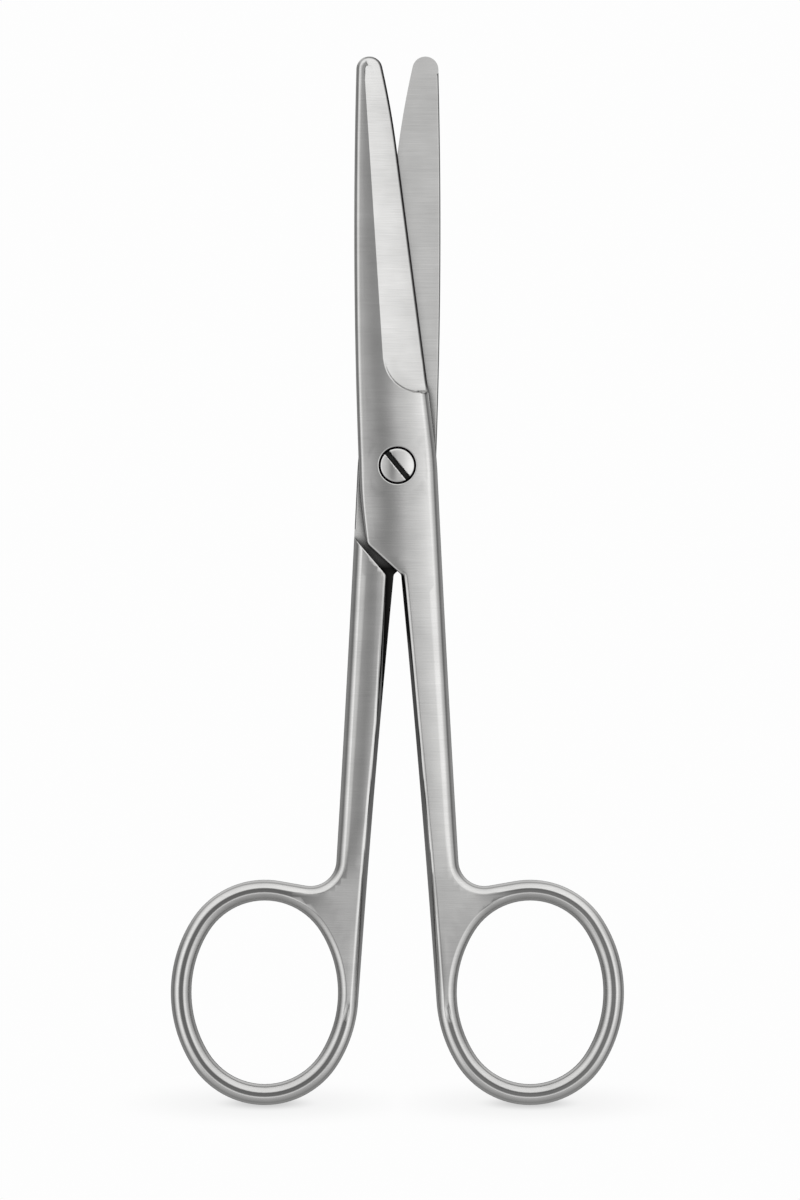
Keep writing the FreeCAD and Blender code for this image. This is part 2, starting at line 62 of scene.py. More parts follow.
# Rows along the outline, by their distance from it, and the distance that points inside them all are given
ROWS = (0.04, 0.1, 0.18, 0.26, 0.36, 0.46, 0.56, 0.64, 0.78, 0.94, 1.1, 1.22, 1.32, 1.44)
INSIDE = 9.0

# Border that a point lies near
OUTER, OPENING, BORE = 1, 2, 3

# Lengths and turns smaller than TINY count as none, and points nearer than JOINED are joined
TINY = 1e-6
JOINED = 0.002

# Points nearer to a level or a cut than these lie on it, and points farther off than CLEAR lie clear of it
ON_LEVEL = 1e-5
ON_CUT = 1e-4
CLEAR = 0.01

# Each half is turned by this angle from its closed place, and its inner face lies at its own level
HALF_OPEN = 3.7
FRONT_LEVEL, REAR_LEVEL = 3.04, 3.0


class FinishSizes(bpy.types.PropertyGroup):
    """Colours and grain of the steel."""

    steel: FloatVectorProperty(
        name="Steel", description="Colour of the brushed steel", subtype="COLOR", default=(0.60, 0.597, 0.59)
    )
    roughness: FloatProperty(name="Roughness", description="Roughness of the satin finish", default=0.14)
    grain: FloatProperty(name="Grain", description="Width of one brush line", unit="LENGTH", default=0.00011)
    gap_reach: FloatProperty(
        name="Gap reach", description="Width of gaps that look dark", unit="LENGTH", default=0.0014
    )


class StageSizes(bpy.types.PropertyGroup):
    """Size of the picture and place of the camera."""

    view_height: FloatProperty(
        name="View height", description="Height of the picture on the floor", unit="LENGTH", default=0.19356
    )
    camera_distance: FloatProperty(
        name="Camera distance", description="Camera above the scissors", unit="LENGTH", default=1.4
    )


class HalfSizes(bpy.types.PropertyGroup):
    """Sizes of one half, drawn closed and lying on the shear plane."""


def add_sizes(group, sizes):
    """Give a group lengths in metres, listed in millimetres."""
    for name, (value, description) in sizes.items():
        label = name.replace("_", " ").capitalize()
        group.__annotations__[name] = FloatProperty(
            name=label, description=description, unit="LENGTH", default=value * MM
        )


HALF = {
    "tip_height": (65.998, "Pivot to tip"),
    "tip_radius": (2.1, "Blunt tip in plan"),
    "tip_offset": (-0.38, "Centre of the tip across the blade"),
    "back_width": (6.2, "Pivot to the back of the joint"),
    "edge_width": (6.4, "Pivot to the cutting side of the joint"),
    "heel_height": (0.8, "Where the cutting side turns into the shank"),
    "heel_radius": (60.0, "That turn in plan"),
    "belly_start": (51.0, "Where the straight cutting edge starts to curve"),
    "belly_width": (3.17, "Cutting edge across from the pivot line at that place"),
    "corner_drop": (11.95, "Pivot down to the lower back corner of the joint"),
    "corner_width": (5.98, "Lower back corner across from the pivot line"),
    "corner_radius": (1.5, "That corner in plan"),
    "crotch_drop": (17.6, "Pivot down to the crotch"),
    "crotch_radius": (0.7, "Crotch corner in plan"),
    "shank_cross": (0.48, "How far a shank reaches over the middle line at the crotch"),
    "shank_width": (5.72, "Outer side of the shank at its end"),
    "shank_run": (5.7, "Straight end of the shank's outer side above the web"),
    "shank_waist": (0.17, "Hollow of the shank's outer side"),
    "web_radius": (4.2, "Fillet between shank and ring"),
    "ring_across": (15.84, "Centre of the finger ring across"),
    "ring_drop": (85.98, "Centre of the finger ring below the pivot"),
    "ring_hole_width": (23.6, "Opening across"),
    "ring_hole_height": (29.6, "Opening along"),
    "ring_end_radius": (10.6, "Radius of the opening's two ends"),
    "ring_band": (3.3, "Width of the ring's band"),
    "lap_gap": (0.2, "Play between the closed halves at the shoulder"),
    "facet_ridge": (-1.2, "Line where the ground facet starts"),
    "facet_foot": (11.3, "Lower end of the ground facet"),
    "facet_radius": (6.0, "Rounded run-out of the ground facet"),
    "runout": (0.35, "Width of the step at the facet's lower end"),
    "joint_thickness": (3.0, "Half at the pivot"),
    "tip_thickness": (1.5, "Half at the tip"),
    "shank_thickness": (2.75, "Half thickness of the shank below the shoulder"),
    "ring_thickness": (2.05, "Half thickness of the finger ring"),
    "edge_height": (0.45, "Facet above the inner face at the cutting edge"),
    "edge_land": (0.08, "Upright land left at the cutting edge"),
    "edge_bevel": (0.3, "Width of the honed edge"),
    "counterbore": (3.0, "Radius of the counterbore for the screw's head"),
    "counterbore_depth": (1.15, "Depth of that counterbore"),
    "running_bore": (1.65, "Radius of the plain bore that turns on the screw"),
    "threaded_bore": (1.47, "Radius of the threaded bore"),
}
add_sizes(HalfSizes, HALF)


class ScrewSizes(bpy.types.PropertyGroup):
    """Sizes of the pivot screw."""


SCREW = {
    "head": (2.7, "Radius of the head"),
    "rim": (5.94, "Height of the head's rim"),
    "dome": (0.2, "Crown of the head above its rim"),
    "seat": (4.92, "Height of the head's underside"),
    "neck": (1.6, "Radius of the plain neck"),
    "shoulder": (3.03, "Height of the neck's shoulder"),
    "thread": (1.45, "Radius of the threaded end"),
    "slot": (0.8, "Width of the slot"),
    "slot_depth": (0.75, "Depth of the slot below the rim"),
}
add_sizes(ScrewSizes, SCREW)
ScrewSizes.__annotations__["turn"] = FloatProperty(
    name="Slot turn", description="How the slot is turned", subtype="ANGLE", default=math.radians(-50.6)
)


def millimetres(group):
    """The group's lengths in millimetres."""
    lengths = [name for name in group.__annotations__ if name != "turn"]
    return SimpleNamespace(**{name: getattr(group, name) / MM for name in lengths})


class Pen:
    """Draws one chain of edges in the plan, with runs and arcs that leave the last one smoothly."""

    def __init__(self, build, start, heading):
        self.build = build
        self.last = build.verts.new((*start, 0))
        self.chain = [self.last]
        self.heading = Vector(heading)
        self.marks = {}

    def here(self):
        """Where the pen is."""
        return self.last.co.xy

    def mark(self, name):
        """Remember the place in the chain."""
        self.marks[name] = len(self.chain) - 1

    def run(self, end, count=0):
        """A straight run to a point."""
        span = end - self.here()
        count = count or max(1, round(span.length / PITCH))
        for _ in range(count):
            self.last = bmesh.ops.extrude_vert_indiv(self.build, verts=[self.last])["verts"][0]
            bmesh.ops.translate(self.build, verts=[self.last], vec=(*(span / count), 0))
            self.chain.append(self.last)
        self.heading = span.normalized()

    def turn(self, centre, angle):
        """An arc about a centre."""
        reach = (self.here() - centre).length * abs(angle)
        count = max(1, math.ceil(reach / PITCH), math.ceil(abs(angle) / FINEST_TURN))
        middle = (*centre, 0)
        bmesh.ops.spin(self.build, geom=[self.last], cent=middle, axis=(0, 0, 1), angle=angle, steps=count)
        for _ in range(count):
            before = self.chain[-2] if len(self.chain) > 1 else None
            ahead = [edge.other_vert(self.last) for edge in self.last.link_edges]
            self.last = next(vert for vert in ahead if vert is not before)
            self.chain.append(self.last)
        self.heading.rotate(Matrix.Rotation(angle, 2))

    def corner(self, corner, after, radius):
        """A run towards a corner, rounded before the next run."""
        into = (corner - self.here()).normalized()
        out = (after - corner).normalized()
        angle = into.angle_signed(out) * -1
        self.run(corner - into * radius * math.tan(abs(angle) / 2))
        side = Vector((-into.y, into.x)) * math.copysign(radius, angle)
        self.turn(self.here() + side, angle)

    def edges(self, first=None, last=None):
        """Edges of the chain between two marks."""
        start = self.marks[first] if first else 0
        end = self.marks[last] if last else len(self.chain) - 1
        verts = self.chain[start : end + 1]
        return [self.build.edges.get(pair) for pair in zip(verts, verts[1:])]

    def close(self):
        """Join the last point of the chain to the first."""
        bmesh.ops.weld_verts(self.build, targetmap={self.last: self.chain[0]})
        self.chain[-1] = self.chain[0]


def leaving_arc(start, heading, end):
    """Centre and angle of the arc that leaves a point in a direction and ends at another."""
    chord = end - start
    across = Vector((-heading.y, heading.x))
    centre = start + across * (chord.length_squared / (2 * chord.dot(across)))
    angle = -(start - centre).angle_signed(end - centre)
    return centre, angle


def flat(x, y):
    """A point of the plan."""
    return Vector((x, y))


def along(degrees):
    """The direction that faces an angle in the plan."""
    return Vector((math.cos(math.radians(degrees)), math.sin(math.radians(degrees))))


def meeting(p, d, q, e):
    """Where the line through p along d meets the line through q along e."""
    return p + d * (((q - p).x * e.y - (q - p).y * e.x) / (d.x * e.y - d.y * e.x))


def ring_arcs(s, first, last, grow):
    """Arcs of the ring's four-centred oval, from one facing down to another."""
    half_width = s.ring_hole_width / 2
    rise = s.ring_hole_height / 2 - s.ring_end_radius
    side = (half_width**2 + rise**2 - s.ring_end_radius**2) / (2 * (half_width - s.ring_end_radius))
    join = math.degrees(math.atan2(rise, side - half_width))
    middle = flat(s.ring_across, -s.ring_drop)
    kinds = [
        (flat(0, rise), s.ring_end_radius, 180 - join),
        (flat(half_width - side, 0), side, join),
        (flat(0, -rise), s.ring_end_radius, -join),
        (flat(side - half_width, 0), side, join - 180),
    ]
    arcs = []
    for turns in (0, 1):
        for index, (centre, radius, upper) in enumerate(kinds):
            upper -= turns * 360
            lower = kinds[(index + 1) % 4][2] - (turns + (index == 3)) * 360
            begin, end = min(upper, first), max(lower, last)
            if begin - end > TINY:
                centre = centre.copy()
                centre.rotate(Matrix.Rotation(math.radians(-RING_TURN), 2))
                arcs.append((middle + centre, radius + grow, begin, end))
    return arcs


def ring_point(s, facing, grow):
    """Point of the ring's oval that faces a direction."""
    centre, radius, begin, _ = ring_arcs(s, facing, facing - 1, grow)[0]
    return centre + along(begin - RING_TURN) * radius


def ring_run(pen, s, first, last, grow):
    """Draw the ring's oval from one facing down to another."""
    for centre, _, begin, end in ring_arcs(s, first, last, grow):
        pen.turn(centre, math.radians(end - begin))


# The rings' ovals are turned back, so that they stand upright when open, and change bands at these facings
RING_TURN = HALF_OPEN
RING_TOP, RING_RIGHT, RING_FOOT, RING_SIDE = 100.0, 0.0, -168.0, -176.0

# Lean of the back at the tip, share of the corner's drop where the flank's bend ends, and the ridge's last edge
TIP_LEAN = 5.2
FLANK_SHARE = 0.7
RIDGE_END = 1.6

# Lines of the step at the facet's foot: share of its width inside the rim, and where on the bend each begins
STEPS_DOWN = {"floor_end": (1, 14), "step_low": (0.55, 10), "step_high": (0.24, 6), "rim_end": (0, 0)}


def plan_points(s):
    """Key points of the plan."""
    p = SimpleNamespace()
    p.tip = flat(s.tip_offset, s.tip_height - s.tip_radius)
    p.back_top = p.tip + along(180 - TIP_LEAN) * s.tip_radius
    p.back_foot = flat(-s.back_width, 0)
    p.heel = flat(s.edge_width, s.heel_height)
    p.belly = flat(s.belly_width, s.belly_start)
    p.ring_top = -s.ring_drop + s.ring_hole_height / 2 + s.ring_band
    p.shank_end = flat(s.shank_width, p.ring_top + s.web_radius + s.shank_run)
    p.corner = flat(-s.corner_width, -s.corner_drop)
    p.crotch = flat(-s.shank_cross, -s.crotch_drop)
    p.low = p.crotch - flat(0, 3 * s.crotch_radius)
    p.foot = ring_point(s, RING_SIDE, s.ring_band)
    p.foot_heading = along(RING_SIDE - RING_TURN - 90)
    down = (p.heel - p.belly).normalized()
    middle = (p.heel + p.shank_end) / 2
    aim = (flat(middle.x - s.shank_waist, middle.y) - p.heel).normalized()
    bend = -down.angle_signed(aim)
    reach = s.heel_radius * math.tan(abs(bend) / 2)
    p.heel_start = p.heel - down * reach
    p.heel_down, p.heel_bend = down, bend
    p.heel_end = p.heel + aim * reach
    p.heel_centre = p.heel_start + Vector((-down.y, down.x)) * math.copysign(s.heel_radius, bend)
    p.side_centre, p.side_angle = leaving_arc(p.heel_end, aim, p.shank_end)
    p.side_heading = aim

    # The shoulder clears the other half's corner and starts on the outer side
    other = flat(s.corner_width, -s.corner_drop) + flat(1, -1) * (s.lap_gap / math.sqrt(2))
    slant = (p.corner - p.crotch).normalized()
    p.slant = flat(-slant.x, slant.y)
    p.other_corner = other
    radius = (p.heel_end - p.side_centre).length
    start = other - p.slant * 3
    reach = start - p.side_centre
    half = reach.dot(p.slant)
    root = math.sqrt(half * half - reach.length_squared + radius * radius)
    near = [start + p.slant * (-half + sign * root) for sign in (-1, 1)]
    p.shoulder = min(near, key=lambda q: (q - other).length)
    p.shoulder_angle = -(p.heel_end - p.side_centre).angle_signed(p.shoulder - p.side_centre)

    # The lap starts where the inner side comes to the middle line, half the play off it
    p.lap_centre, _ = leaving_arc(p.foot, p.foot_heading, p.low)
    radius = (p.foot - p.lap_centre).length
    across = s.lap_gap / 2 - p.lap_centre.x
    rise = math.copysign(math.sqrt(radius**2 - across**2), (p.foot - p.lap_centre).y)
    best = [p.lap_centre + flat(across, sign * abs(rise)) for sign in (-1, 1)]
    p.lap_start = min(best, key=lambda q: abs(q.y - (p.foot.y + p.low.y) / 2))
    return p


def draw_grip(pen, s, p):
    """From the shoulder down the shank's outer side, round the ring and up the inner side to the lap."""
    pen.turn(p.side_centre, p.side_angle - p.shoulder_angle)
    pen.mark("web")
    top = ring_point(s, RING_TOP, s.ring_band)
    tangent = along(RING_TOP - RING_TURN - 90)
    pen.corner(meeting(p.shank_end, pen.heading, top, tangent), top, s.web_radius)
    pen.run(top)
    pen.mark("ring_top")
    ring_run(pen, s, RING_TOP, RING_RIGHT, s.ring_band)
    pen.mark("ring_right")
    ring_run(pen, s, RING_RIGHT, RING_FOOT, s.ring_band)
    pen.mark("ring_foot")
    ring_run(pen, s, RING_FOOT, RING_SIDE, s.ring_band)
    pen.turn(p.lap_centre, -(p.foot - p.lap_centre).angle_signed(p.lap_start - p.lap_centre))
    pen.mark("lap")


def draw_opening(build, s):
    """The ring's opening, from the right round to the right again."""
    pen = Pen(build, ring_point(s, RING_RIGHT, 0), along(-RING_TURN - 90))
    ring_run(pen, s, RING_RIGHT, RING_FOOT, 0)
    pen.mark("foot")
    ring_run(pen, s, RING_FOOT, RING_RIGHT - 360, 0)
    pen.close()
    return pen


def cross(build, a, b):
    """A line across the plan between two points of chains."""
    pen = Pen(build, a.co.xy, (0, 1))
    pen.run(b.co.xy, 1)
    join(pen, 0, a)
    join(pen, -1, b)
    return pen.edges()


def fill(build, edges):
    """One face inside a closed chain of edges."""
    return bmesh.ops.contextual_create(build, geom=edges)["faces"]


def draw_joint(pen, s, p):
    """From the lap round the crotch and the joint's corner, and up the blade's back."""
    slant = (p.corner - p.crotch).normalized()
    meet = meeting(p.low, pen.heading, p.crotch, slant)
    lean = math.radians(TIP_LEAN)
    back_centre, back_angle = leaving_arc(p.back_top, flat(-math.sin(lean), -math.cos(lean)), p.back_foot)
    leaving = flat(-math.sin(lean), -math.cos(lean))
    leaving.rotate(Matrix.Rotation(back_angle, 2))
    flank_foot = flat(-s.corner_width, -s.corner_drop * FLANK_SHARE)
    flank_centre, flank_angle = leaving_arc(p.back_foot, leaving, flank_foot)
    leaving.rotate(Matrix.Rotation(flank_angle, 2))
    far = meeting(flank_foot, leaving, p.crotch, slant)
    pen.corner(meet, far, s.crotch_radius)
    pen.mark("crotch")
    pen.corner(far, flank_foot, s.corner_radius)
    pen.mark("corner")
    pen.run(flank_foot)
    pen.turn(flank_centre, -flank_angle)
    pen.mark("back_foot")
    pen.turn(back_centre, -back_angle)
    pen.mark("back_top")


def edge_point(p, y):
    """Point of the straight cutting edge at a height."""
    return p.belly + p.heel_down * ((p.belly.y - y) / -p.heel_down.y)


def draw_blade(pen, s, p):
    """Round the tip and down the belly and the cutting edge to the heel."""
    facing = math.degrees(math.acos((s.facet_ridge - p.tip.x) / s.tip_radius))
    ridge_top = p.tip + along(facing) * s.tip_radius
    pen.turn(p.tip, -(p.back_top - p.tip).angle_signed(ridge_top - p.tip))
    pen.mark("ridge_top")
    inward = Vector((p.heel_down.y, -p.heel_down.x))
    reach = p.belly - p.tip
    belly_radius = (s.tip_radius**2 - reach.dot(reach)) / (2 * (inward.dot(reach) + s.tip_radius))
    belly_centre = p.belly + inward * belly_radius
    touch = p.tip + (p.tip - belly_centre).normalized() * s.tip_radius
    pen.turn(p.tip, -(ridge_top - p.tip).angle_signed(touch - p.tip))
    pen.mark("touch")
    pen.turn(belly_centre, -(touch - belly_centre).angle_signed(p.belly - belly_centre))
    for name, (inset, _) in STEPS_DOWN.items():
        pen.run(edge_point(p, s.facet_foot + inset * s.runout))
        pen.mark(name)
    pen.run(p.heel_start)
    pen.turn(p.heel_centre, p.heel_bend)
    pen.mark("heel")


def draw_steps(build, s, p, pen):
    """Lines of the step at the facet's foot, from the ridge round its bend to the cutting edge."""
    bend = flat(s.facet_ridge, s.facet_foot + s.facet_radius)
    centre = bend + flat(s.facet_radius, 0)
    lines = []
    for name, (inset, begin) in STEPS_DOWN.items():
        line = Pen(build, bend, (0, -1))
        if inset:
            line.run(centre + along(180 + begin) * (s.facet_radius - inset * s.runout), 1)
        line.turn(centre, math.radians(90 - begin))
        line.run(edge_point(p, s.facet_foot + inset * s.runout), 1)
        join(line, -1, pen.chain[pen.marks[name]])
        if lines:
            join(line, 0, lines[0].chain[0])
        lines.append(line)
    return lines


def near_side(s, p, build, bore):
    """Plan of the side that the half turns away from the other: blade, joint, shank and ring."""
    pen = Pen(build, p.shoulder, (0, -1))
    pen.heading = p.side_heading.copy()
    pen.heading.rotate(Matrix.Rotation(p.shoulder_angle, 2))
    draw_grip(pen, s, p)
    pen.turn(p.lap_centre, -(p.lap_start - p.lap_centre).angle_signed(p.low - p.lap_centre))
    pen.mark("low")
    draw_joint(pen, s, p)
    draw_blade(pen, s, p)
    pen.turn(p.side_centre, p.shoulder_angle)
    pen.close()
    pen.mark("end")
    opening = draw_opening(build, s)
    hole = Pen(build, flat(bore, 0), (0, 1))
    hole.turn(flat(0, 0), math.pi)
    hole.mark("left")
    hole.turn(flat(0, 0), math.pi)
    hole.close()
    return pen, opening, hole, draw_steps(build, s, p, pen)


def join(pen, index, vert):
    """Make one point of a chain the same as another chain's point."""
    if pen.chain[index] is not vert:
        bmesh.ops.weld_verts(pen.build, targetmap={pen.chain[index]: vert})
        pen.chain[index] = vert


def near_regions(s, p, build, bore):
    """Faces of the near side's plan, split along the facet, the bore and the ring."""
    pen, opening, hole, lines = near_side(s, p, build, bore)
    at = {name: pen.chain[index] for name, index in pen.marks.items()}
    ridge = Pen(build, lines[0].chain[0].co.xy, (0, 1))
    ridge.run(at["ridge_top"].co.xy - flat(0, RIDGE_END))
    ridge.run(at["ridge_top"].co.xy, 1)
    join(ridge, 0, lines[0].chain[0])
    join(ridge, -1, at["ridge_top"])
    hole_left = hole.chain[hole.marks["left"]]
    left = cross(build, at["back_foot"], hole_left)
    right = cross(build, hole.chain[0], at["heel"])
    ring_right = cross(build, at["ring_right"], opening.chain[0])
    ring_foot = cross(build, at["ring_foot"], opening.chain[opening.marks["foot"]])
    regions = SimpleNamespace()
    regions.facet = fill(build, ridge.edges() + pen.edges("ridge_top", "floor_end") + lines[0].edges())
    names = list(STEPS_DOWN)
    regions.step = []
    for name, after, line, next_line in zip(names, names[1:], lines, lines[1:]):
        regions.step += fill(build, line.edges() + pen.edges(name, after) + next_line.edges())
    upper = pen.edges("back_foot", "ridge_top") + ridge.edges() + lines[-1].edges()
    fill(build, upper + pen.edges("rim_end", "heel") + right + hole.edges(None, "left") + left)
    lower = pen.edges("heel", "end") + pen.edges(None, "ring_right") + pen.edges("ring_foot", "back_foot")
    lower += ring_right + opening.edges("foot") + ring_foot + left + hole.edges("left") + right
    fill(build, lower)
    fill(build, pen.edges("ring_right", "ring_foot") + ring_foot + opening.edges(None, "foot") + ring_right)
    return pen, opening, hole, regions


def far_side(s, p, build):
    """Plan of the shank and ring beyond the shear plane, drawn on past the shoulder."""
    pen = Pen(build, p.heel_end, p.side_heading)
    pen.run(p.shoulder, 1)
    pen.heading = p.side_heading.copy()
    pen.heading.rotate(Matrix.Rotation(p.shoulder_angle, 2))
    draw_grip(pen, s, p)
    centre = flat(s.lap_gap - p.lap_centre.x, p.lap_centre.y)
    low = flat(s.lap_gap - p.low.x, p.low.y)
    pen.turn(centre, -(p.lap_start - centre).angle_signed(low - centre))
    pen.mark("low")
    pen.run(flat(low.x, p.heel_end.y), 1)
    pen.mark("top")
    pen.run(p.heel_end, 1)
    pen.close()
    pen.mark("end")
    opening = draw_opening(build, s)
    at = {name: pen.chain[index] for name, index in pen.marks.items()}
    ring_right = cross(build, at["ring_right"], opening.chain[0])
    ring_foot = cross(build, at["ring_foot"], opening.chain[opening.marks["foot"]])
    upper = pen.edges(None, "ring_right") + pen.edges("ring_foot", "end")
    fill(build, upper + ring_right + opening.edges("foot") + ring_foot)
    fill(build, pen.edges("ring_right", "ring_foot") + ring_foot + opening.edges(None, "foot") + ring_right)
    return pen, opening


# Rounding along the outline, from mark to mark: width, slope at its inner end, share of a plain steep slope
NEAR_RIMS = {
    None: (1.45, 9, 0), "web": (1.45, 9, 0), "ring_top": (1.3, 9, 0), "ring_right": (1.3, 9, 0),
    "ring_foot": (1.25, 9, 0), "lap": (0.62, 0, 1), "low": (0.6, 0, 1), "crotch": (0.25, 0, 0),
    "corner": (0.3, 5, 0), "back_foot": (0.7, 12, 0), "back_top": (0.7, 12, 0), "ridge_top": (0.7, 12, 0),
    "touch": (0.3, 12, 0), "floor_end": (0.01, 0, 0), "step_low": (0.01, 0, 0),
    "step_high": (0.01, 0, 0), "rim_end": (1.2, 9, 0), "heel": (1.45, 9, 0), "end": (1.45, 9, 0),
}
FAR_RIMS = {
    None: (1.45, 9, 0), "web": (1.45, 9, 0), "ring_top": (1.3, 9, 0), "ring_right": (1.3, 9, 0),
    "ring_foot": (1.25, 9, 0), "lap": (0.62, 0, 1), "low": (0.2, 0, 0.2), "top": (0.2, 0, 0),
    "end": (0.2, 0, 0),
}
OPENING_RIM = (1.3, 9, 0)
BORE_RIM = (0.14, 0, 0)


# Values that each point of the plan carries
LAYERS = ("rim", "wide", "slope", "steep", "kind", "painted_shade")


def new_layers(build):
    """Room for the values of each point."""
    for name in LAYERS:
        build.verts.layers.float.new(name)
    return {name: build.verts.layers.float[name] for name in LAYERS}


def mark_rims(build, layers, pen, opening, hole, rims):
    """Write how each point of the outline is rounded, and that all others lie inside."""
    for vert in build.verts:
        vert[layers["rim"]] = INSIDE
    names = list(rims)
    for name, after in zip(names, names[1:]):
        start = pen.marks[name] if name else 0
        end = pen.marks[after]
        for index in range(start, end + 1):
            share = (index - start) / max(end - start, 1)
            values = [a + (b - a) * share for a, b in zip(rims[name], rims[after])]
            vert = pen.chain[index]
            vert[layers["wide"]], vert[layers["slope"]], vert[layers["steep"]] = values
            vert[layers["rim"]], vert[layers["kind"]] = 0, OUTER
    for loop, kind, values in ((opening, OPENING, OPENING_RIM), (hole, BORE, BORE_RIM)):
        if loop:
            for vert in loop.chain:
                vert[layers["wide"]], vert[layers["slope"]], vert[layers["steep"]] = values
                vert[layers["rim"]], vert[layers["kind"]] = 0, kind


def border(faces):
    """Points on the border of a set of faces."""
    inside = set(faces)
    edges = {edge for face in faces for edge in face.edges}
    outer = [edge for edge in edges if edge.is_boundary or not inside.issuperset(edge.link_faces)]
    return {vert for edge in outer for vert in edge.verts}


def inset_rows(build, layers):
    """Rows of faces along the border, so that its rounding has a fine shape."""
    faces = list(build.faces)
    last = 0.0
    for row in ROWS:
        bmesh.ops.inset_region(
            build, faces=faces, use_boundary=True, use_even_offset=True, thickness=row - last, depth=0
        )
        verts = border(faces)
        for vert in verts:
            for edge in vert.link_edges:
                other = edge.other_vert(vert)
                if other not in verts and abs(other[layers["rim"]] - last) < TINY:
                    for name in ("wide", "slope", "steep", "kind"):
                        vert[layers[name]] = other[layers[name]]
                    break
            vert[layers["rim"]] = row
        last = row
    return faces


def cut_grid(build, faces, pitch):
    """Cut the inside of the plan into a grid."""
    verts = {vert for face in faces for vert in face.verts}
    geom = list(faces) + list({edge for face in faces for edge in face.edges}) + list(verts)
    for axis in (1, 0):
        places = [vert.co[axis] for vert in verts if vert.is_valid]
        low, high = min(places), max(places)
        normal = (axis == 0, axis == 1, 0)
        for k in range(int((high - low) / pitch[axis])):
            place = [0, 0, 0]
            place[axis] = low + (k + GRID_START) * pitch[axis]
            cut = bmesh.ops.bisect_plane(build, geom=geom, dist=ON_LEVEL, plane_co=place, plane_no=normal)
            geom = cut["geom"]


# Steep strip beside the gap between the shanks: its fall, the rounding at its foot, and the chamfer inside it
STEEP_FALL = math.tan(math.radians(68))
STEEP_FOOT = 0.12
CHAMFER_FALL, CHAMFER_WIDTH = 0.325, 0.28


def rim_drop(distance, wide, slope, steep):
    """How far the surface lies below its level at distances from the border."""
    wide = np.maximum(wide, 0.001)
    inside = np.minimum(distance, wide)
    end = np.radians(slope)
    radius = wide / (1 - np.sin(end))
    curved = radius * (np.cos(end) - np.sqrt(np.maximum(0, 1 - (1 - inside / radius) ** 2)))
    foot = STEEP_FALL * (wide - inside) ** 2 / (2 * STEEP_FOOT)
    sloped = np.where(inside > wide - STEEP_FOOT, foot, STEEP_FALL * (wide - inside - STEEP_FOOT / 2))
    chamfer = CHAMFER_FALL * np.clip(wide + CHAMFER_WIDTH - distance, 0, CHAMFER_WIDTH)
    return curved * (1 - steep) + (sloped + chamfer) * steep


def smooth(low, high, value):
    """Smooth share from 0 to 1 between two levels."""
    share = np.clip((value - low) / (high - low), 0, 1)
    return share * share * (3 - 2 * share)


# Where the thickness changes: above the ring, below the crotch, and at the joint's lower and upper end
TAPER_RISE, TAPER_DROP = 1.9, 4
JOINT_LOW, JOINT_HIGH = -10.5, 12.0
EASED_OVER = 0.8


def crest_height(s, p, y, near):
    """Level of the outer face along its crest."""
    ys = (p.ring_top + TAPER_RISE, -s.crotch_drop - TAPER_DROP, JOINT_LOW, JOINT_HIGH, s.tip_height)
    zs = (s.ring_thickness, s.shank_thickness, s.joint_thickness, s.joint_thickness, s.tip_thickness)
    if not near:
        ys, zs = ys[:2], zs[:2]
    return sum(np.interp(y + k * EASED_OVER, ys, zs) for k in (-2, -1, 0, 1, 2)) / 5


# Crest of the face across, and slope in degrees at its left and right sides, at heights along the half
# The crest stays this far inside the outline, and the face is flat below some height
CREST_AT = (-60.0, -24.0, -15.0, -7.0, 6.0, 15.0, 60.0)
CREST_X = (1.4, 0.7, 0.6, 0.8, 0.6, 0.4, 0.4)
LEFT_SLOPE = (1.5, 1.5, 4.0, 7.0, 6.5, 6.0, 6.0)
RIGHT_SLOPE = (7.0, 7.0, 7.0, 7.5, 7.5, 7.5, 7.5)
CREST_INSIDE = 0.5
FLAT_BELOW = (-69, -58)


def dome_drop(x, y, sides):
    """How far the gently domed face lies below its crest."""
    left, right = (np.interp(y, *side) for side in sides)
    crest = np.clip(np.interp(y, CREST_AT, CREST_X), left + CREST_INSIDE, right - CREST_INSIDE)
    slope = np.where(x < crest, np.interp(y, CREST_AT, LEFT_SLOPE), np.interp(y, CREST_AT, RIGHT_SLOPE))
    reach = np.where(x < crest, crest - left, right - crest)
    return np.tan(np.radians(slope)) * (x - crest) ** 2 / (2 * reach) * smooth(*FLAT_BELOW, y)


# Valley between the ring's two bands: depth and half width, facings where it runs out, and its outer limit
VALLEY_DEPTH, VALLEY_HALF = 0.3, 0.42
VALLEY_TOP, VALLEY_FOOT = (96, 128), (-174, -158)
VALLEY_LIMIT = 0.6


def valley_share(s, v):
    """Share of the depth of the valley between the ring's two bands."""
    x, y = v.x - s.ring_across, v.y + s.ring_drop
    facing = np.degrees(np.arctan2(y, x)) + RING_TURN
    share = np.where(facing > 0, 1 - smooth(*VALLEY_TOP, facing), smooth(*VALLEY_FOOT, facing))
    share = share * (v.kind > OUTER - 0.5) * (v.kind < OPENING + 0.5)
    limit = s.ring_hole_height / 2 + s.ring_band + VALLEY_LIMIT
    share = share * np.clip((limit - np.hypot(x, y)) / VALLEY_LIMIT, 0, 1)
    distance = np.where(v.kind > OPENING - 0.5, v.rim, s.ring_band - v.rim)
    return np.maximum(0, 1 - np.abs(distance - s.ring_band / 2) / VALLEY_HALF) * share


# Where shade is painted into the steel's colour: inside the rings, in their valleys, and on the steep strip
# beside the gap
OPENING_SHADE = 0.1
VALLEY_SHADE = 1.5
STRIP_WIDTH, STRIP_FADE = 0.66, 0.08


def painted_darkness(v, valley):
    """How dark the painted shade makes the steel, from 0 to 1."""
    band = OPENING_SHADE * (v.kind > OPENING - 0.5) * (v.kind < OPENING + 0.5)
    strip = v.steep * np.clip((STRIP_WIDTH - v.rim) / STRIP_FADE, 0, 1)
    return np.maximum.reduce((band, strip, np.minimum(1, VALLEY_SHADE * valley)))


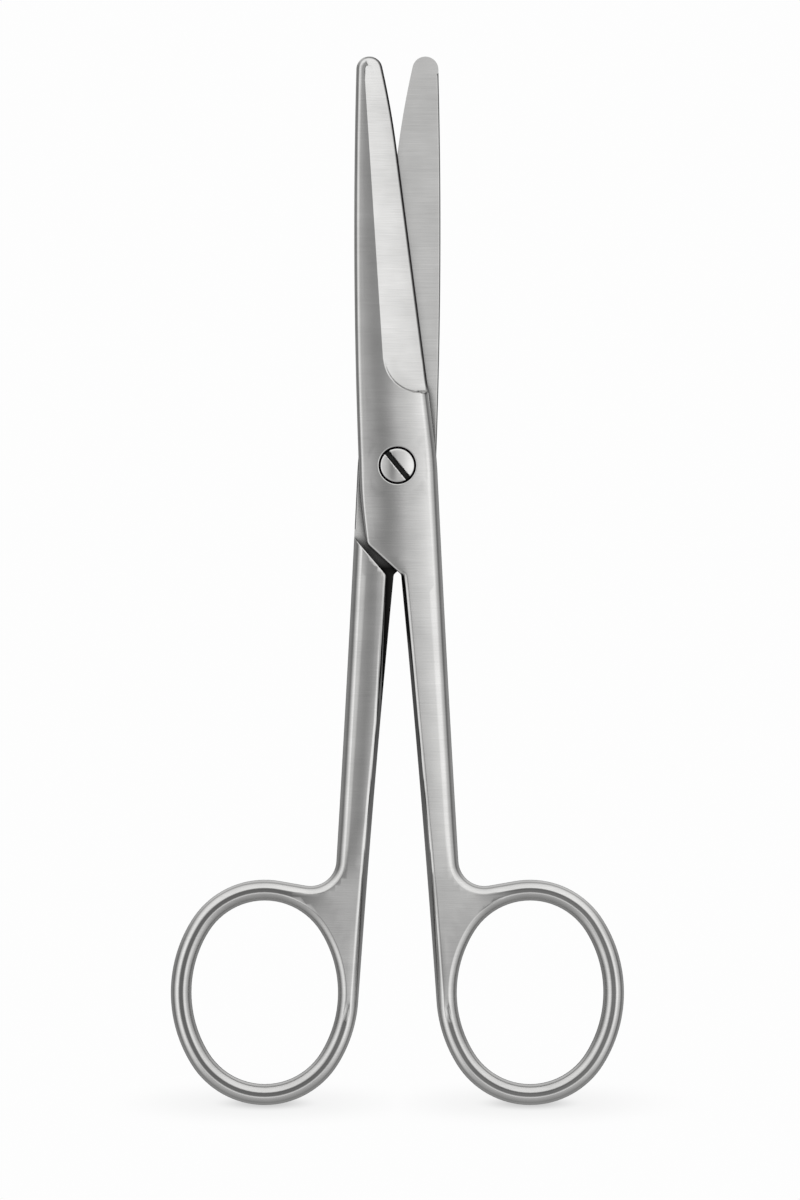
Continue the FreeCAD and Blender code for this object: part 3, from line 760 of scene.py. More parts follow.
def point_values(build, layers):
    """Places of all points and the values they carry, as arrays."""
    verts = build.verts[:]
    v = SimpleNamespace(**{name: np.array([vert[layer] for vert in verts]) for name, layer in layers.items()})
    v.x, v.y = (np.array([vert.co[axis] for vert in verts]) for axis in (0, 1))
    return v


def side_points(verts):
    """Heights and places across of one side, from low to high."""
    points = sorted((v.co.y, v.co.x) for v in verts)
    return [y for y, _ in points], [x for _, x in points]


# Facet: how much it is rounded across, its width at the tip by the tip's radius, and how its foot rises again
FACET_ROUND = math.tan(math.radians(3))
FACET_TOP = 1.6
FOOT_RISE, FOOT_LENGTH, FOOT_POWER = 0.32, 2.4, 3
STEP_POWER = 1.6

# Honed edge: how dark its painted shade is, over what width, and how softly that ends
EDGE_SHADE, EDGE_WIDTH, EDGE_FADE = 1.1, 0.3, 0.1


def facet_level(s, p, v, on_ridge):
    """Level of the ground facet with its honed edge."""
    across = p.belly.x + p.heel_down.x * ((p.belly.y - s.facet_foot) / -p.heel_down.y)
    fall = (crest_height(s, p, s.facet_foot, True) - s.edge_height) / (across - s.facet_ridge)
    level = on_ridge - fall * (v.x - s.facet_ridge)
    wide = np.interp(v.y, (s.facet_foot, s.tip_height), (across - s.facet_ridge, s.tip_radius * FACET_TOP))
    level += 2 * FACET_ROUND / wide * (v.x - s.facet_ridge) * np.maximum(0, wide - v.x + s.facet_ridge) / 2
    honed = s.edge_land + (level - s.edge_land) / s.edge_bevel * v.rim
    edge = (np.abs(v.kind - OUTER) < 0.5) & (v.x > s.facet_ridge)
    return np.where(edge, np.minimum(level, honed), level), edge


def facet_share(s, v):
    """How far the grinding has come down to the facet, from 0 at the foot's step to 1."""
    middle = (s.facet_ridge + s.facet_radius, s.facet_foot + s.facet_radius)
    round_run = s.facet_radius - np.hypot(v.x - middle[0], v.y - middle[1])
    run = np.where((v.y < middle[1]) & (v.x < middle[0]), round_run, v.y - s.facet_foot)
    rise = np.maximum(0, 1 - (run - s.runout) / FOOT_LENGTH) ** FOOT_POWER * FOOT_RISE
    return (1 - rise) * np.clip(run / s.runout, 0, 1) ** STEP_POWER


def lift_near(s, p, build, layers, sides, facet):
    """Raise the near side to its shape."""
    v = point_values(build, layers)
    on_facet = np.array([vert in facet for vert in build.verts])
    crest = crest_height(s, p, v.y, True)
    valley = valley_share(s, v)
    height = crest - dome_drop(v.x, v.y, sides) - rim_drop(v.rim, v.wide, v.slope, v.steep)
    height -= valley * VALLEY_DEPTH
    on_ridge = crest - dome_drop(np.full_like(v.x, s.facet_ridge), v.y, sides)
    level, edge = facet_level(s, p, v, on_ridge)
    share = facet_share(s, v)
    ground = height - share * np.maximum(0, height - level)
    # Painted shade: a dark line along the honed cutting edge
    edge_shade = EDGE_SHADE * share * (edge & on_facet) * np.clip((EDGE_WIDTH - v.rim) / EDGE_FADE, 0, 1)
    darkness = np.maximum(painted_darkness(v, valley), edge_shade)
    # Painted shade: the rim of the bore is fully dark
    darkness = np.where((np.abs(v.kind - BORE) < 0.5) & (v.rim < CLEAR), 1, darkness)
    # Each point's painted shade goes into its attribute
    for vert, z, dark in zip(build.verts, np.where(on_facet, ground, height), darkness):
        vert.co.z = z
        vert[layers["painted_shade"]] = dark


# Rows of the shoulder's broken edge, and spacing of the cuts across the shank below it
SHOULDER_ROWS = (0, 0.04, 0.1, 0.2)
SHANK_CUTS = 0.8


def cut_shoulder(s, p, build):
    """Grind the far side off along the shoulder, with rows for its broken edge."""
    outward = Vector((-p.slant.y, p.slant.x, 0))
    for inset in SHOULDER_ROWS:
        geom = build.verts[:] + build.edges[:] + build.faces[:]
        place = p.other_corner.to_3d() - outward * inset
        bmesh.ops.bisect_plane(
            build, geom=geom, dist=ON_CUT, plane_co=place, plane_no=outward, clear_outer=inset == 0
        )
    for height in np.arange(p.low.y, p.other_corner.y, SHANK_CUTS):
        geom = build.verts[:] + build.edges[:] + build.faces[:]
        bmesh.ops.bisect_plane(build, geom=geom, dist=ON_CUT, plane_co=(0, height, 0), plane_no=(0, 1, 0))


def lift_far(s, p, build, layers, sides):
    """Lower the far side to its shape."""
    v = point_values(build, layers)
    valley = valley_share(s, v)
    drop = rim_drop(v.rim, v.wide, v.slope, v.steep) + dome_drop(v.x, v.y, sides) + valley * VALLEY_DEPTH
    from_cut = (v.x - p.other_corner.x) * p.slant.y - (v.y - p.other_corner.y) * p.slant.x
    drop += rim_drop(np.maximum(0, from_cut), SHOULDER_ROWS[-1], 0, 0)
    # The far side carries its painted shade in the same attribute
    for vert, z, dark in zip(build.verts, drop - crest_height(s, p, v.y, False), painted_darkness(v, valley)):
        vert.co.z = z
        vert[layers["painted_shade"]] = dark


def made_items(made, kind):
    """What an operator made, of one kind."""
    return [item for item in made if isinstance(item, kind)]


def close_down(build, edges, level=0.0):
    """A wall from open edges to a level."""
    made = bmesh.ops.extrude_edge_only(build, edges=edges)["geom"]
    for vert in made_items(made, bmesh.types.BMVert):
        vert.co.z = level
    return [edge for edge in made_items(made, bmesh.types.BMEdge) if edge.is_boundary]


def open_edges(build):
    """Edges with one face only."""
    return [edge for edge in build.edges if edge.is_boundary]


def join_flat(build):
    """Join the points of the shear plane that lie on each other."""
    verts = [vert for vert in build.verts if abs(vert.co.z) < ON_LEVEL / 10]
    bmesh.ops.remove_doubles(build, verts=verts, dist=JOINED)


# Walls right of this share their ends, which lie at least this far inside an edge
WALL_FROM, END_INSIDE = 4, 0.003


def share_ends(build):
    """Split open edges where the end of another one lies on them, and join the ends."""
    edges = [edge for edge in open_edges(build) if min(v.co.x for v in edge.verts) > WALL_FROM]
    ends = {vert for edge in edges for vert in edge.verts}
    for edge in edges:
        low, high = sorted(edge.verts, key=lambda vert: vert.co.y)
        line = high.co - low.co
        bottom, top = low.co.y + END_INSIDE, high.co.y - END_INSIDE
        between = [vert for vert in ends if bottom < vert.co.y < top]
        on = [vert for vert in between if abs((vert.co - low.co).cross(line).z) < JOINED * line.length]
        for vert in sorted(on, key=lambda vert: -vert.co.y):
            share = (vert.co - low.co).length / (high.co - low.co).length
            edge, high = bmesh.utils.edge_split(edge, low, share)
            edge = next(other for other in low.link_edges if other.other_vert(low) is high)
    join_flat(build)


def put(build, name, materials, body, nodes):
    """Make an object of the finished mesh, riding on its body and standing for its node."""
    mesh = bpy.data.meshes.new(name)
    build.to_mesh(mesh)
    build.free()
    for material in materials:
        mesh.materials.append(material)
    made = bpy.data.objects.new(name, mesh)
    bpy.context.collection.objects.link(made)
    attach(made, body)
    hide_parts(*nodes)
    return made


# Broken edge of the inner face along the blade's back: width, rows, how dark its painted shade is and how far
# above the corner
BACK_EDGE, BACK_ROWS, BACK_SHADE = 0.3, 4, 0.6
BACK_START = 1

# It is left out where the wall is lower than this, and nearer to the pivot than this
LOWEST_WALL, JOINT_REACH = 0.4, 4.5


def mark_inner(build):
    """Give the flat inner face its own material."""
    for face in build.faces:
        face.material_index = int(all(abs(vert.co.z) < ON_LEVEL for vert in face.verts))


def break_back(s, build):
    """Break the edge of the inner face along the blade's back."""
    back = []
    top = s.tip_height - s.tip_radius
    for edge in build.edges:
        inner = [face for face in edge.link_faces if face.material_index]
        walls = [face for face in edge.link_faces if not face.material_index]
        heights = [v.co.y for v in edge.verts]
        if len(inner) == len(walls) == 1 and -s.corner_drop + BACK_START < min(heights) and max(heights) < top:
            wall = max(v.co.z for v in walls[0].verts)
            if wall > LOWEST_WALL and edge.verts[0].co.xy.length > JOINT_REACH:
                back.append(edge)
    made = bmesh.ops.bevel(
        build,
        geom=back,
        offset=BACK_EDGE,
        offset_type="OFFSET",
        segments=BACK_ROWS,
        profile=0.5,
        affect="EDGES",
        material=-1,
    )
    dark = build.verts.layers.float["painted_shade"]
    # Painted shade along the broken back edge
    for vert in made["verts"]:
        if vert.co.z > CLEAR:
            vert[dark] = BACK_SHADE
    mark_inner(build)
    for edge in build.edges:
        if len({face.material_index for face in edge.link_faces}) > 1:
            edge.seam = True


SHARP = math.radians(28)


def finish(build):
    """Outward faces, smooth but for the sharp edges, in metres."""
    bmesh.ops.recalc_face_normals(build, faces=build.faces)
    for face in build.faces:
        face.smooth = True
    for edge in build.edges:
        edge.smooth = not edge.seam and len(edge.link_faces) == 2 and edge.calc_face_angle(0) < SHARP
    bmesh.ops.scale(build, verts=build.verts, vec=(MM, MM, MM))


def near_body(s, p, build, bore, thread):
    """Near side of a half, open at the shear plane; gives back the places of its right side."""
    part = build.faces.layers.int.new("part")
    layers = new_layers(build)
    pen, opening, hole, regions = near_regions(s, p, build, bore)
    for number, face in enumerate(regions.facet + regions.step, 1):
        face[part] = number
    mark_rims(build, layers, pen, opening, hole, NEAR_RIMS)
    marks = pen.marks
    left = side_points(pen.chain[marks["ring_foot"] : marks["ridge_top"]])
    right = side_points(pen.chain[marks["ridge_top"] :] + pen.chain[: marks["web"]])
    faces = inset_rows(build, layers)
    cut_grid(build, faces, GRID)
    top = s.facet_foot + FINE_REACH
    cut_grid(build, [f for f in build.faces if f[part] == 1 and f.calc_center_median().y < top], FINE_GRID)
    facet = {v for v in build.verts if all(face[part] for face in v.link_faces)}
    lift_near(s, p, build, layers, (left, right), facet)
    rings = open_edges(build)
    bores = [edge for edge in rings if all(round(v[layers["kind"]]) == BORE for v in edge.verts)]
    bore_edges = set(bores)
    close_down(build, [edge for edge in rings if edge not in bore_edges])
    if thread:
        close_down(build, bores)
    else:
        sink_head(s, build, layers, bores)
    drop_layers(build)
    for edge in build.edges:
        edge.seam = len({face[part] for face in edge.link_faces}) > 1
    build.faces.layers.int.remove(build.faces.layers.int["part"])
    return right


def sink_head(s, build, layers, bores):
    """Counterbore with painted shade on its seat, and the plain bore below it."""
    seat = close_down(build, bores, s.joint_thickness - s.counterbore_depth)
    # Painted shade: the counterbore's seat is fully dark
    for vert in {vert for edge in seat for vert in edge.verts}:
        vert[layers["painted_shade"]] = 1
    made = bmesh.ops.extrude_edge_only(build, edges=seat)["geom"]
    narrower = s.running_bore / s.counterbore
    bmesh.ops.scale(build, verts=made_items(made, bmesh.types.BMVert), vec=(narrower, narrower, 1))
    close_down(build, [edge for edge in made_items(made, bmesh.types.BMEdge) if edge.is_boundary])


def drop_layers(build):
    """Take the values out again that only shape the half."""
    for name in LAYERS:
        if name != "painted_shade":
            build.verts.layers.float.remove(build.verts.layers.float[name])


def far_body(s, p, right):
    """Far side of a half, open at the shear plane, as a mesh."""
    far = bmesh.new()
    layers = new_layers(far)
    pen, opening = far_side(s, p, far)
    mark_rims(far, layers, pen, opening, None, FAR_RIMS)
    left = side_points(pen.chain[pen.marks["ring_foot"] : pen.marks["top"]])
    faces = inset_rows(far, layers)
    cut_grid(far, faces, GRID)
    cut_shoulder(s, p, far)
    lift_far(s, p, far, layers, (left, right))
    close_down(far, open_edges(far))
    drop_layers(far)
    mesh = bpy.data.meshes.new("far_body")
    far.to_mesh(mesh)
    far.free()
    return mesh


def build_half(name, bore, thread, place, materials, body):
    """One half, drawn lying on the shear plane and set in its place."""
    s = millimetres(bpy.context.scene.scissors_half)
    p = plan_points(s)
    build = bmesh.new()
    right = near_body(s, p, build, bore, thread)
    far = far_body(s, p, right)
    build.from_mesh(far)
    bpy.data.meshes.remove(far)
    join_flat(build)
    share_ends(build)
    bmesh.ops.triangle_fill(build, edges=open_edges(build), use_beauty=True, use_dissolve=False)
    reach = (bore if thread else s.running_bore) + CLEAR
    over = [face for face in build.faces if all(v.co.length < reach for v in face.verts)]
    bmesh.ops.delete(build, geom=over, context="FACES_ONLY")
    bmesh.ops.recalc_face_normals(build, faces=build.faces)
    mark_inner(build)
    break_back(s, build)
    bmesh.ops.transform(build, matrix=place, verts=build.verts)
    finish(build)
    return put(build, name + "_steel", materials, body, [name])


def half_place(turn, level, turned_over):
    """Where a half lies: turned open, at its level, and turned over or not."""
    place = Matrix.Rotation(math.radians(turn), 4, "Z") @ Matrix.Translation((0, 0, level))
    return place @ Matrix.Rotation(math.pi, 4, "Y") if turned_over else place


def node(tree, kind, **values):
    """A node with its settings and input values."""
    made = tree.nodes.new(kind)
    for key, value in values.items():
        if key in made.inputs:
            made.inputs[key].default_value = value
        else:
            setattr(made, key, value)
    return made


def maths(tree, operation, *values):
    """A maths node on outputs and numbers."""
    made = node(tree, "ShaderNodeMath", operation=operation)
    for socket, value in zip(made.inputs, values):
        if isinstance(value, (int, float)):
            socket.default_value = value
        else:
            tree.links.new(value, socket)
    return made.outputs[0]


def spread(tree, value, span, result, interpolation="LINEAR"):
    """A value spread from one range to another."""
    made = node(tree, "ShaderNodeMapRange", interpolation_type=interpolation)
    for name, number in zip(("From Min", "From Max", "To Min", "To Max"), (*span, *result)):
        made.inputs[name].default_value = number
    tree.links.new(value, made.inputs["Value"])
    return made.outputs["Result"]


# Heights in metres over which the painted shade, near black on the inner face of the shank, fades out towards
# the ground inner face of the blade
LAP_SHADE_FROM, LAP_SHADE_TONE = (-0.0165, -0.0115), (0.03, 1.0)

# Steel: width of its brush lines against their length, and brightness of the lines and soft clouds by noise
LINES_ACROSS = 0.02
NOISE = (0.3, 0.7)
LINE_TONE, CLOUD_TONE = (0.94, 1.05), (0.93, 1.06)

# Painted shade: how the steel's colour darkens by ambient occlusion where a gap leaves it this open, and how
# much the painted shade attribute darkens it
OPENNESS, GAP_TONE = (0.45, 0.93), (0.02, 1.0)
SHADE_DEPTH = 0.85

# Painted light: brightness of the inner faces and of the screw against that of the outer faces, as brighter
# copies of the same steel
INNER_LIGHT, SCREW_LIGHT = 1.12, 1.05


def brushed_steel(name, turn, light=1.0, inner=False):
    """Satin steel with fine brush lines across the half, with painted shade in narrow gaps and other darkened
    places.
    """
    sizes = bpy.context.scene.scissors_finish
    material = bpy.data.materials.new(name)
    material.use_nodes = True
    tree = material.node_tree
    tree.nodes.clear()
    link = tree.links.new
    place = node(tree, "ShaderNodeTexCoord")
    mapping = node(tree, "ShaderNodeMapping", vector_type="POINT")
    mapping.inputs["Rotation"].default_value = (0, 0, math.radians(-turn))
    mapping.inputs["Scale"].default_value = (LINES_ACROSS, 1, LINES_ACROSS)
    link(place.outputs["Object"], mapping.inputs["Vector"])
    lines = node(tree, "ShaderNodeTexNoise", Scale=1 / sizes.grain, Detail=3.0)
    link(mapping.outputs["Vector"], lines.inputs["Vector"])
    bump = node(tree, "ShaderNodeBump", Strength=0.2, Distance=0.000008)
    link(lines.outputs["Fac"], bump.inputs["Height"])
    tone = spread(tree, lines.outputs["Fac"], NOISE, LINE_TONE)
    clouds = node(tree, "ShaderNodeTexNoise", Scale=160.0, Detail=2.0)
    link(place.outputs["Object"], clouds.inputs["Vector"])
    drift = spread(tree, clouds.outputs["Fac"], NOISE, CLOUD_TONE)
    # Painted shade: ambient occlusion darkens the colour in narrow gaps
    gap = node(tree, "ShaderNodeAmbientOcclusion", Distance=sizes.gap_reach, samples=8)
    shade = spread(tree, gap.outputs["AO"], OPENNESS, GAP_TONE)
    level = maths(tree, "MULTIPLY", maths(tree, "MULTIPLY", tone, drift), shade)
    if inner:
        # Painted shade: the inner face is near black below the joint and brightens towards the blade
        parts = node(tree, "ShaderNodeSeparateXYZ")
        link(place.outputs["Object"], parts.inputs[0])
        lap_shade = spread(tree, parts.outputs["Y"], LAP_SHADE_FROM, LAP_SHADE_TONE)
        level = maths(tree, "MULTIPLY", level, lap_shade)
    else:
        # Painted shade from the points' attribute darkens the colour
        left = node(tree, "ShaderNodeAttribute", attribute_name="painted_shade")
        left = maths(tree, "MULTIPLY", left.outputs["Fac"], SHADE_DEPTH)
        level = maths(tree, "MULTIPLY", level, maths(tree, "SUBTRACT", 1, left))
    # Painted light: the colour is made brighter by the given share
    level = maths(tree, "MULTIPLY", level, light)
    colour = node(tree, "ShaderNodeVectorMath", operation="SCALE")
    colour.inputs[0].default_value = tuple(sizes.steel)
    link(level, colour.inputs["Scale"])
    shader = node(tree, "ShaderNodeBsdfPrincipled", Metallic=1.0, Roughness=sizes.roughness, Anisotropic=0.5)
    link(colour.outputs["Vector"], shader.inputs["Base Color"])
    link(bump.outputs["Normal"], shader.inputs["Normal"])
    direction = node(tree, "ShaderNodeCombineXYZ")
    direction.inputs[0].default_value = -math.sin(math.radians(turn))
    direction.inputs[1].default_value = math.cos(math.radians(turn))
    link(direction.outputs["Vector"], shader.inputs["Tangent"])
    out = node(tree, "ShaderNodeOutputMaterial")
    link(shader.outputs["BSDF"], out.inputs["Surface"])
    return material


def blob(tree, place, middle, reach):
    """A soft round spot, 1 in its middle and 0 beyond its reach."""
    offset = node(tree, "ShaderNodeVectorMath", operation="SUBTRACT")
    tree.links.new(place, offset.inputs[0])
    offset.inputs[1].default_value = middle
    size = node(tree, "ShaderNodeVectorMath", operation="DIVIDE")
    tree.links.new(offset.outputs["Vector"], size.inputs[0])
    size.inputs[1].default_value = reach
    length = node(tree, "ShaderNodeVectorMath", operation="LENGTH")
    tree.links.new(size.outputs["Vector"], length.inputs[0])
    return spread(tree, length.outputs["Value"], (0, 1), (1, 0), "SMOOTHERSTEP")


# Floor: its half width, level and whiteness, and the painted soft shadows under the rings, with reach and depth
FLOOR_REACH = 1.5
FLOOR_LEVEL = -0.0002
WHITE = 0.985
SHADOW_ACROSS, SHADOW_ALONG = 0.0213, -0.1028
SHADOWS = (((0.010, 0.0015, 1), 0.32), ((0.030, 0.0045, 1), 0.09))


def plain_floor():
    """White floor with a painted soft shadow under the rings."""
    material = bpy.data.materials.new("floor_white")
    material.use_nodes = True
    tree = material.node_tree
    tree.nodes.clear()
    place = node(tree, "ShaderNodeTexCoord").outputs["Object"]
    dark = 0.0
    # Painted shadows under the rings darken the floor's glow
    for reach, depth in SHADOWS:
        left, right = (blob(tree, place, (x, SHADOW_ALONG, 0), reach) for x in (-SHADOW_ACROSS, SHADOW_ACROSS))
        spots = maths(tree, "MAXIMUM", left, right)
        dark = maths(tree, "ADD", maths(tree, "MULTIPLY", spots, depth), dark)
    glow = node(tree, "ShaderNodeEmission", Color=(1, 1, 1, 1))
    strength = maths(tree, "MULTIPLY", maths(tree, "SUBTRACT", 1, dark), WHITE)
    tree.links.new(strength, glow.inputs["Strength"])
    out = node(tree, "ShaderNodeOutputMaterial")
    tree.links.new(glow.outputs["Emission"], out.inputs["Surface"])
    return material


# Studio bands: how bright steel looks, up to 255, when it leans left or right, and up or down, by degrees
ACROSS = (
    (-90, 70), (-80, 105), (-65, 130), (-54, 120), (-42, 100), (-34, 165), (-24, 222), (-18, 230), (-12, 196),
    (-7, 188), (-5.2, 168), (-3.8, 136), (-2.6, 114), (-1.2, 142), (0, 180), (2, 188), (4, 205), (6, 230),
    (12, 232), (20, 224), (28, 185), (36, 165), (44, 90), (52, 120), (65, 140), (80, 110), (90, 70),
)
ALONG = (
    (-90, 110), (-80, 110), (-60, 135), (-45, 122), (-35, 138), (-25, 150), (-15, 168), (-6, 170), (0, 168),
    (6, 190), (15, 226), (30, 222), (42, 208), (50, 140), (60, 188), (80, 180), (90, 140),
)
STEEL_GREY = 0.6
STUDIO_STRENGTH = 2.0

# The bands up and down take over from those left and right over this share, counted from a least lean
TAKE_OVER = (0.2, 0.9)
LEAST_LEAN = 0.5


def linear(value):
    """Linear brightness of a shown value from 0 to 255."""
    value /= 255
    return value / 12.92 if value <= 0.04045 else ((value + 0.055) / 1.055) ** 2.4


def sweep(tree, lean, stops):
    """Brightness of the studio by how far steel that mirrors it leans."""
    place = spread(tree, lean, (-math.pi / 2, math.pi / 2), (0, 1))
    ramp = node(tree, "ShaderNodeValToRGB")
    ramp.color_ramp.interpolation = "LINEAR"
    elements = ramp.color_ramp.elements
    elements.remove(elements[1])
    for degrees, value in stops:
        at = (degrees + 90) / 180
        stop = elements.new(at) if at else elements[0]
        stop.position = at
        level = linear(value) / STEEL_GREY / STUDIO_STRENGTH
        stop.color = (level, level, level, 1)
    tree.links.new(place, ramp.inputs["Fac"])
    return ramp.outputs["Color"]


def studio_world():
    """Bright and dark bands around the scissors that the steel mirrors, and white behind."""
    world = bpy.data.worlds.new("studio")
    world.use_nodes = True
    tree = world.node_tree
    tree.nodes.clear()
    place = node(tree, "ShaderNodeTexCoord")
    parts = node(tree, "ShaderNodeSeparateXYZ")
    tree.links.new(place.outputs["Generated"], parts.inputs[0])
    x, y, z = parts.outputs
    # Steel mirrors from twice the angle that it leans by
    sideways = maths(tree, "MULTIPLY", maths(tree, "ARCTAN2", x, z), 0.5)
    lengthwise = maths(tree, "MULTIPLY", maths(tree, "ARCTAN2", y, z), 0.5)
    squares = maths(tree, "ADD", maths(tree, "MULTIPLY", x, x), maths(tree, "MULTIPLY", y, y))
    lean = maths(tree, "MAXIMUM", maths(tree, "SQRT", squares), LEAST_LEAN)
    share = maths(tree, "DIVIDE", maths(tree, "ABSOLUTE", y), lean)
    blend = spread(tree, share, TAKE_OVER, (0, 1), "SMOOTHSTEP")
    mixed = node(tree, "ShaderNodeMix", data_type="RGBA")
    tree.links.new(blend, mixed.inputs[0])
    tree.links.new(sweep(tree, sideways, ACROSS), mixed.inputs[6])
    tree.links.new(sweep(tree, lengthwise, ALONG), mixed.inputs[7])
    studio = node(tree, "ShaderNodeBackground", Strength=STUDIO_STRENGTH)
    tree.links.new(mixed.outputs[2], studio.inputs["Color"])
    white = node(tree, "ShaderNodeBackground", Color=(1, 1, 1, 1), Strength=WHITE)
    path = node(tree, "ShaderNodeLightPath")
    either = node(tree, "ShaderNodeMixShader")
    tree.links.new(path.outputs["Is Camera Ray"], either.inputs[0])
    tree.links.new(studio.outputs[0], either.inputs[1])
    tree.links.new(white.outputs[0], either.inputs[2])
    out = node(tree, "ShaderNodeOutputWorld")
    tree.links.new(either.outputs[0], out.inputs["Surface"])
    return world


class SCISSORS_OT_halves(bpy.types.Operator):
    """Finish the two halves"""

    bl_idname = "scissors.halves"
    bl_label = "Halves"

    def execute(self, context):
        s = millimetres(context.scene.scissors_half)
        halves = (
            ("front", s.counterbore, HALF_OPEN, FRONT_LEVEL, False),
            ("rear", s.threaded_bore, -HALF_OPEN, REAR_LEVEL, True),
        )
        for body, bore, turn, level, rear in halves:
            materials = [
                brushed_steel(body + "_steel", turn),
                brushed_steel(body + "_inner", turn, INNER_LIGHT, True),
            ]
            build_half(body + "_half", bore, rear, half_place(turn, level, rear), materials, body)
        return {"FINISHED"}


# Screw: sides, chamfer of its threaded end, rounding of its rim, and rings of its crown by share of radius
SCREW_SIDES = 96
THREAD_CHAMFER = ((0.8, 0), (1, 0.15))
RIM_ROUND = ((0, 0.1), (0.03, 0.03), (0.09, 0))
CROWN = (0.93, 0.86, 0.76, 0.66, 0.56, 0.46, 0.36, 0.26, 0.16, 0.06)

# Lips of the slot: width and reach of each, and how far the left and the right one are worn down
LIP_WIDTH, LIP_REACH = 0.03, 0.16
LIP_WORN = (0.035, 0.1)

# Painted shade: how dark the slot's floor is, and how far below the rim all of the screw is painted dark
SLOT_SHADE = 0.8
DARK_BELOW = 0.05


def turned(build, profile):
    """A solid turned from pairs of radius and height."""
    radius, height = profile[0]
    circle = bmesh.ops.create_circle(build, cap_ends=True, radius=radius, segments=SCREW_SIDES)["verts"]
    bmesh.ops.translate(build, verts=circle, vec=(0, 0, height))
    edges = open_edges(build)
    for wider, higher in profile[1:]:
        made = bmesh.ops.extrude_edge_only(build, edges=edges)["geom"]
        verts = made_items(made, bmesh.types.BMVert)
        edges = [edge for edge in made_items(made, bmesh.types.BMEdge) if edge.is_boundary]
        bmesh.ops.scale(build, verts=verts, vec=(wider / radius, wider / radius, 1))
        bmesh.ops.translate(build, verts=verts, vec=(0, 0, higher - height))
        radius, height = wider, higher
    bmesh.ops.contextual_create(build, geom=edges)


def cut_slot(s, build, dark, across):
    """Cut the slot across the head, with its worn lips."""
    steps = (s.slot / 2, s.slot / 2 + LIP_WIDTH, s.slot / 2 + LIP_REACH)
    for reach in [sign * step for step in steps for sign in (-1, 1)]:
        geom = build.verts[:] + build.edges[:] + build.faces[:]
        bmesh.ops.bisect_plane(build, geom=geom, dist=ON_LEVEL, plane_co=across * reach, plane_no=across)
    floor = s.rim - s.slot_depth
    for vert in build.verts:
        # Painted shade: the slot's floor and all of the screw below the rim are darkened
        side = vert.co.dot(across)
        if vert.co.z > floor and abs(side) < steps[0] + ON_CUT:
            vert.co.z = floor
            vert[dark] = SLOT_SHADE
        elif vert.co.z < s.rim - DARK_BELOW:
            vert[dark] = 1
        elif abs(side) < steps[1] + ON_CUT:
            vert.co.z -= LIP_WORN[side > 0]


class SCISSORS_OT_screw(bpy.types.Operator):
    """Turn the pivot screw and cut its slot"""

    bl_idname = "scissors.screw"
    bl_label = "Screw"

    def execute(self, context):
        s = millimetres(context.scene.scissors_screw)
        build = bmesh.new()
        dark = build.verts.layers.float.new("painted_shade")
        profile = [(s.thread * share, height) for share, height in THREAD_CHAMFER]
        profile += [(s.thread, s.shoulder), (s.neck, s.shoulder), (s.neck, s.seat), (s.head, s.seat)]
        profile += [(s.head - inset, s.rim - drop) for inset, drop in RIM_ROUND]
        profile += [(s.head * share, s.rim + s.dome * (1 - share**2)) for share in CROWN]
        turned(build, profile)
        across = Matrix.Rotation(context.scene.scissors_screw.turn, 4, "Z") @ Vector((0, 1, 0))
        cut_slot(s, build, dark, across)
        finish(build)
        steel = brushed_steel("screw_steel", 0, SCREW_LIGHT)
        put(build, "pivot_screw_steel", [steel], "rear", ["pivot_screw"])
        return {"FINISHED"}


# Middle of the picture on the floor
PICTURE_MIDDLE = (0.42 * MM, -21.63 * MM)


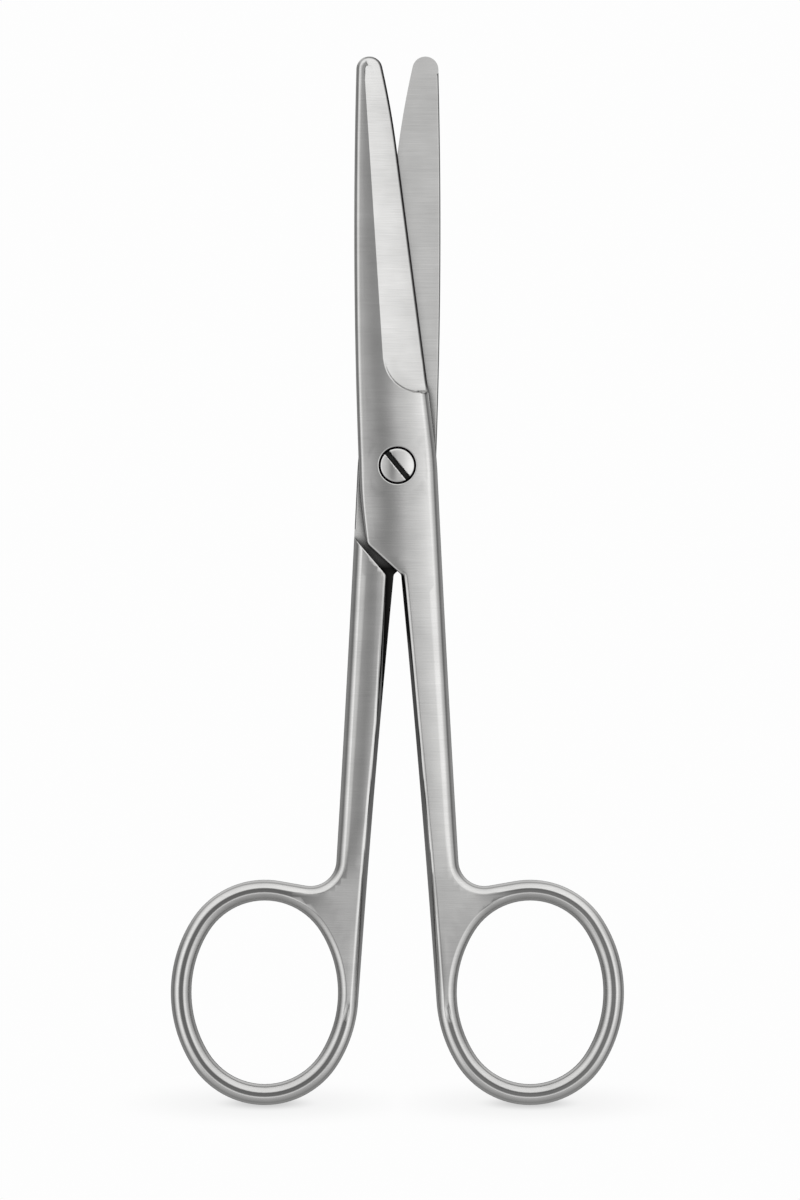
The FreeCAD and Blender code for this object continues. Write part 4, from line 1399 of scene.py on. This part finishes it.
class SCISSORS_OT_stage(bpy.types.Operator):
    """Set the floor, the studio around it and the camera"""

    bl_idname = "scissors.stage"
    bl_label = "Stage"

    def execute(self, context):
        sizes = context.scene.scissors_stage
        build = bmesh.new()
        bmesh.ops.create_grid(build, x_segments=1, y_segments=1, size=FLOOR_REACH)
        bmesh.ops.translate(build, verts=build.verts, vec=(0, 0, FLOOR_LEVEL))
        mesh = bpy.data.meshes.new("floor")
        build.to_mesh(mesh)
        build.free()
        floor = bpy.data.objects.new("floor", mesh)
        floor.data.materials.append(plain_floor())
        context.collection.objects.link(floor)
        floor.visible_glossy = False
        floor.visible_diffuse = False

        context.scene.world = studio_world()
        camera = bpy.data.cameras.new("camera")
        camera.sensor_fit = "VERTICAL"
        camera.sensor_height = 24
        camera.lens = camera.sensor_height * sizes.camera_distance / sizes.view_height
        camera.clip_end = 10
        eye = bpy.data.objects.new("camera", camera)
        eye.location = (*PICTURE_MIDDLE, sizes.camera_distance)
        context.collection.objects.link(eye)
        context.scene.camera = eye
        context.scene.view_settings.view_transform = "Standard"
        return {"FINISHED"}


class SCISSORS_PT_panel(bpy.types.Panel):
    """Sizes and pieces of the scissors"""

    bl_idname = "SCISSORS_PT_panel"
    bl_label = "Dissecting scissors"
    bl_space_type = "VIEW_3D"
    bl_region_type = "UI"
    bl_category = "Scissors"

    def draw(self, context):
        layout = self.layout
        scene = context.scene
        for group in (scene.scissors_half, scene.scissors_screw, scene.scissors_finish, scene.scissors_stage):
            box = layout.box()
            for name in group.__annotations__:
                box.prop(group, name)
        for step in STEPS:
            layout.operator(step)


STEPS = ("scissors.halves", "scissors.screw", "scissors.stage")
CLASSES = (
    HalfSizes,
    ScrewSizes,
    FinishSizes,
    StageSizes,
    SCISSORS_OT_halves,
    SCISSORS_OT_screw,
    SCISSORS_OT_stage,
    SCISSORS_PT_panel,
)


def register():
    """Add the classes and their sizes."""
    for kind in CLASSES:
        bpy.utils.register_class(kind)
    bpy.types.Scene.scissors_half = PointerProperty(type=HalfSizes)
    bpy.types.Scene.scissors_screw = PointerProperty(type=ScrewSizes)
    bpy.types.Scene.scissors_finish = PointerProperty(type=FinishSizes)
    bpy.types.Scene.scissors_stage = PointerProperty(type=StageSizes)


def unregister():
    """Take the classes out again."""
    del bpy.types.Scene.scissors_half
    del bpy.types.Scene.scissors_screw
    del bpy.types.Scene.scissors_finish
    del bpy.types.Scene.scissors_stage
    for kind in reversed(CLASSES):
        bpy.utils.unregister_class(kind)


def main():
    """Build the scissors and the stage."""
    register()
    bpy.ops.scissors.halves()
    bpy.ops.scissors.screw()
    bpy.ops.scissors.stage()


if __name__ == "__main__":
    main()
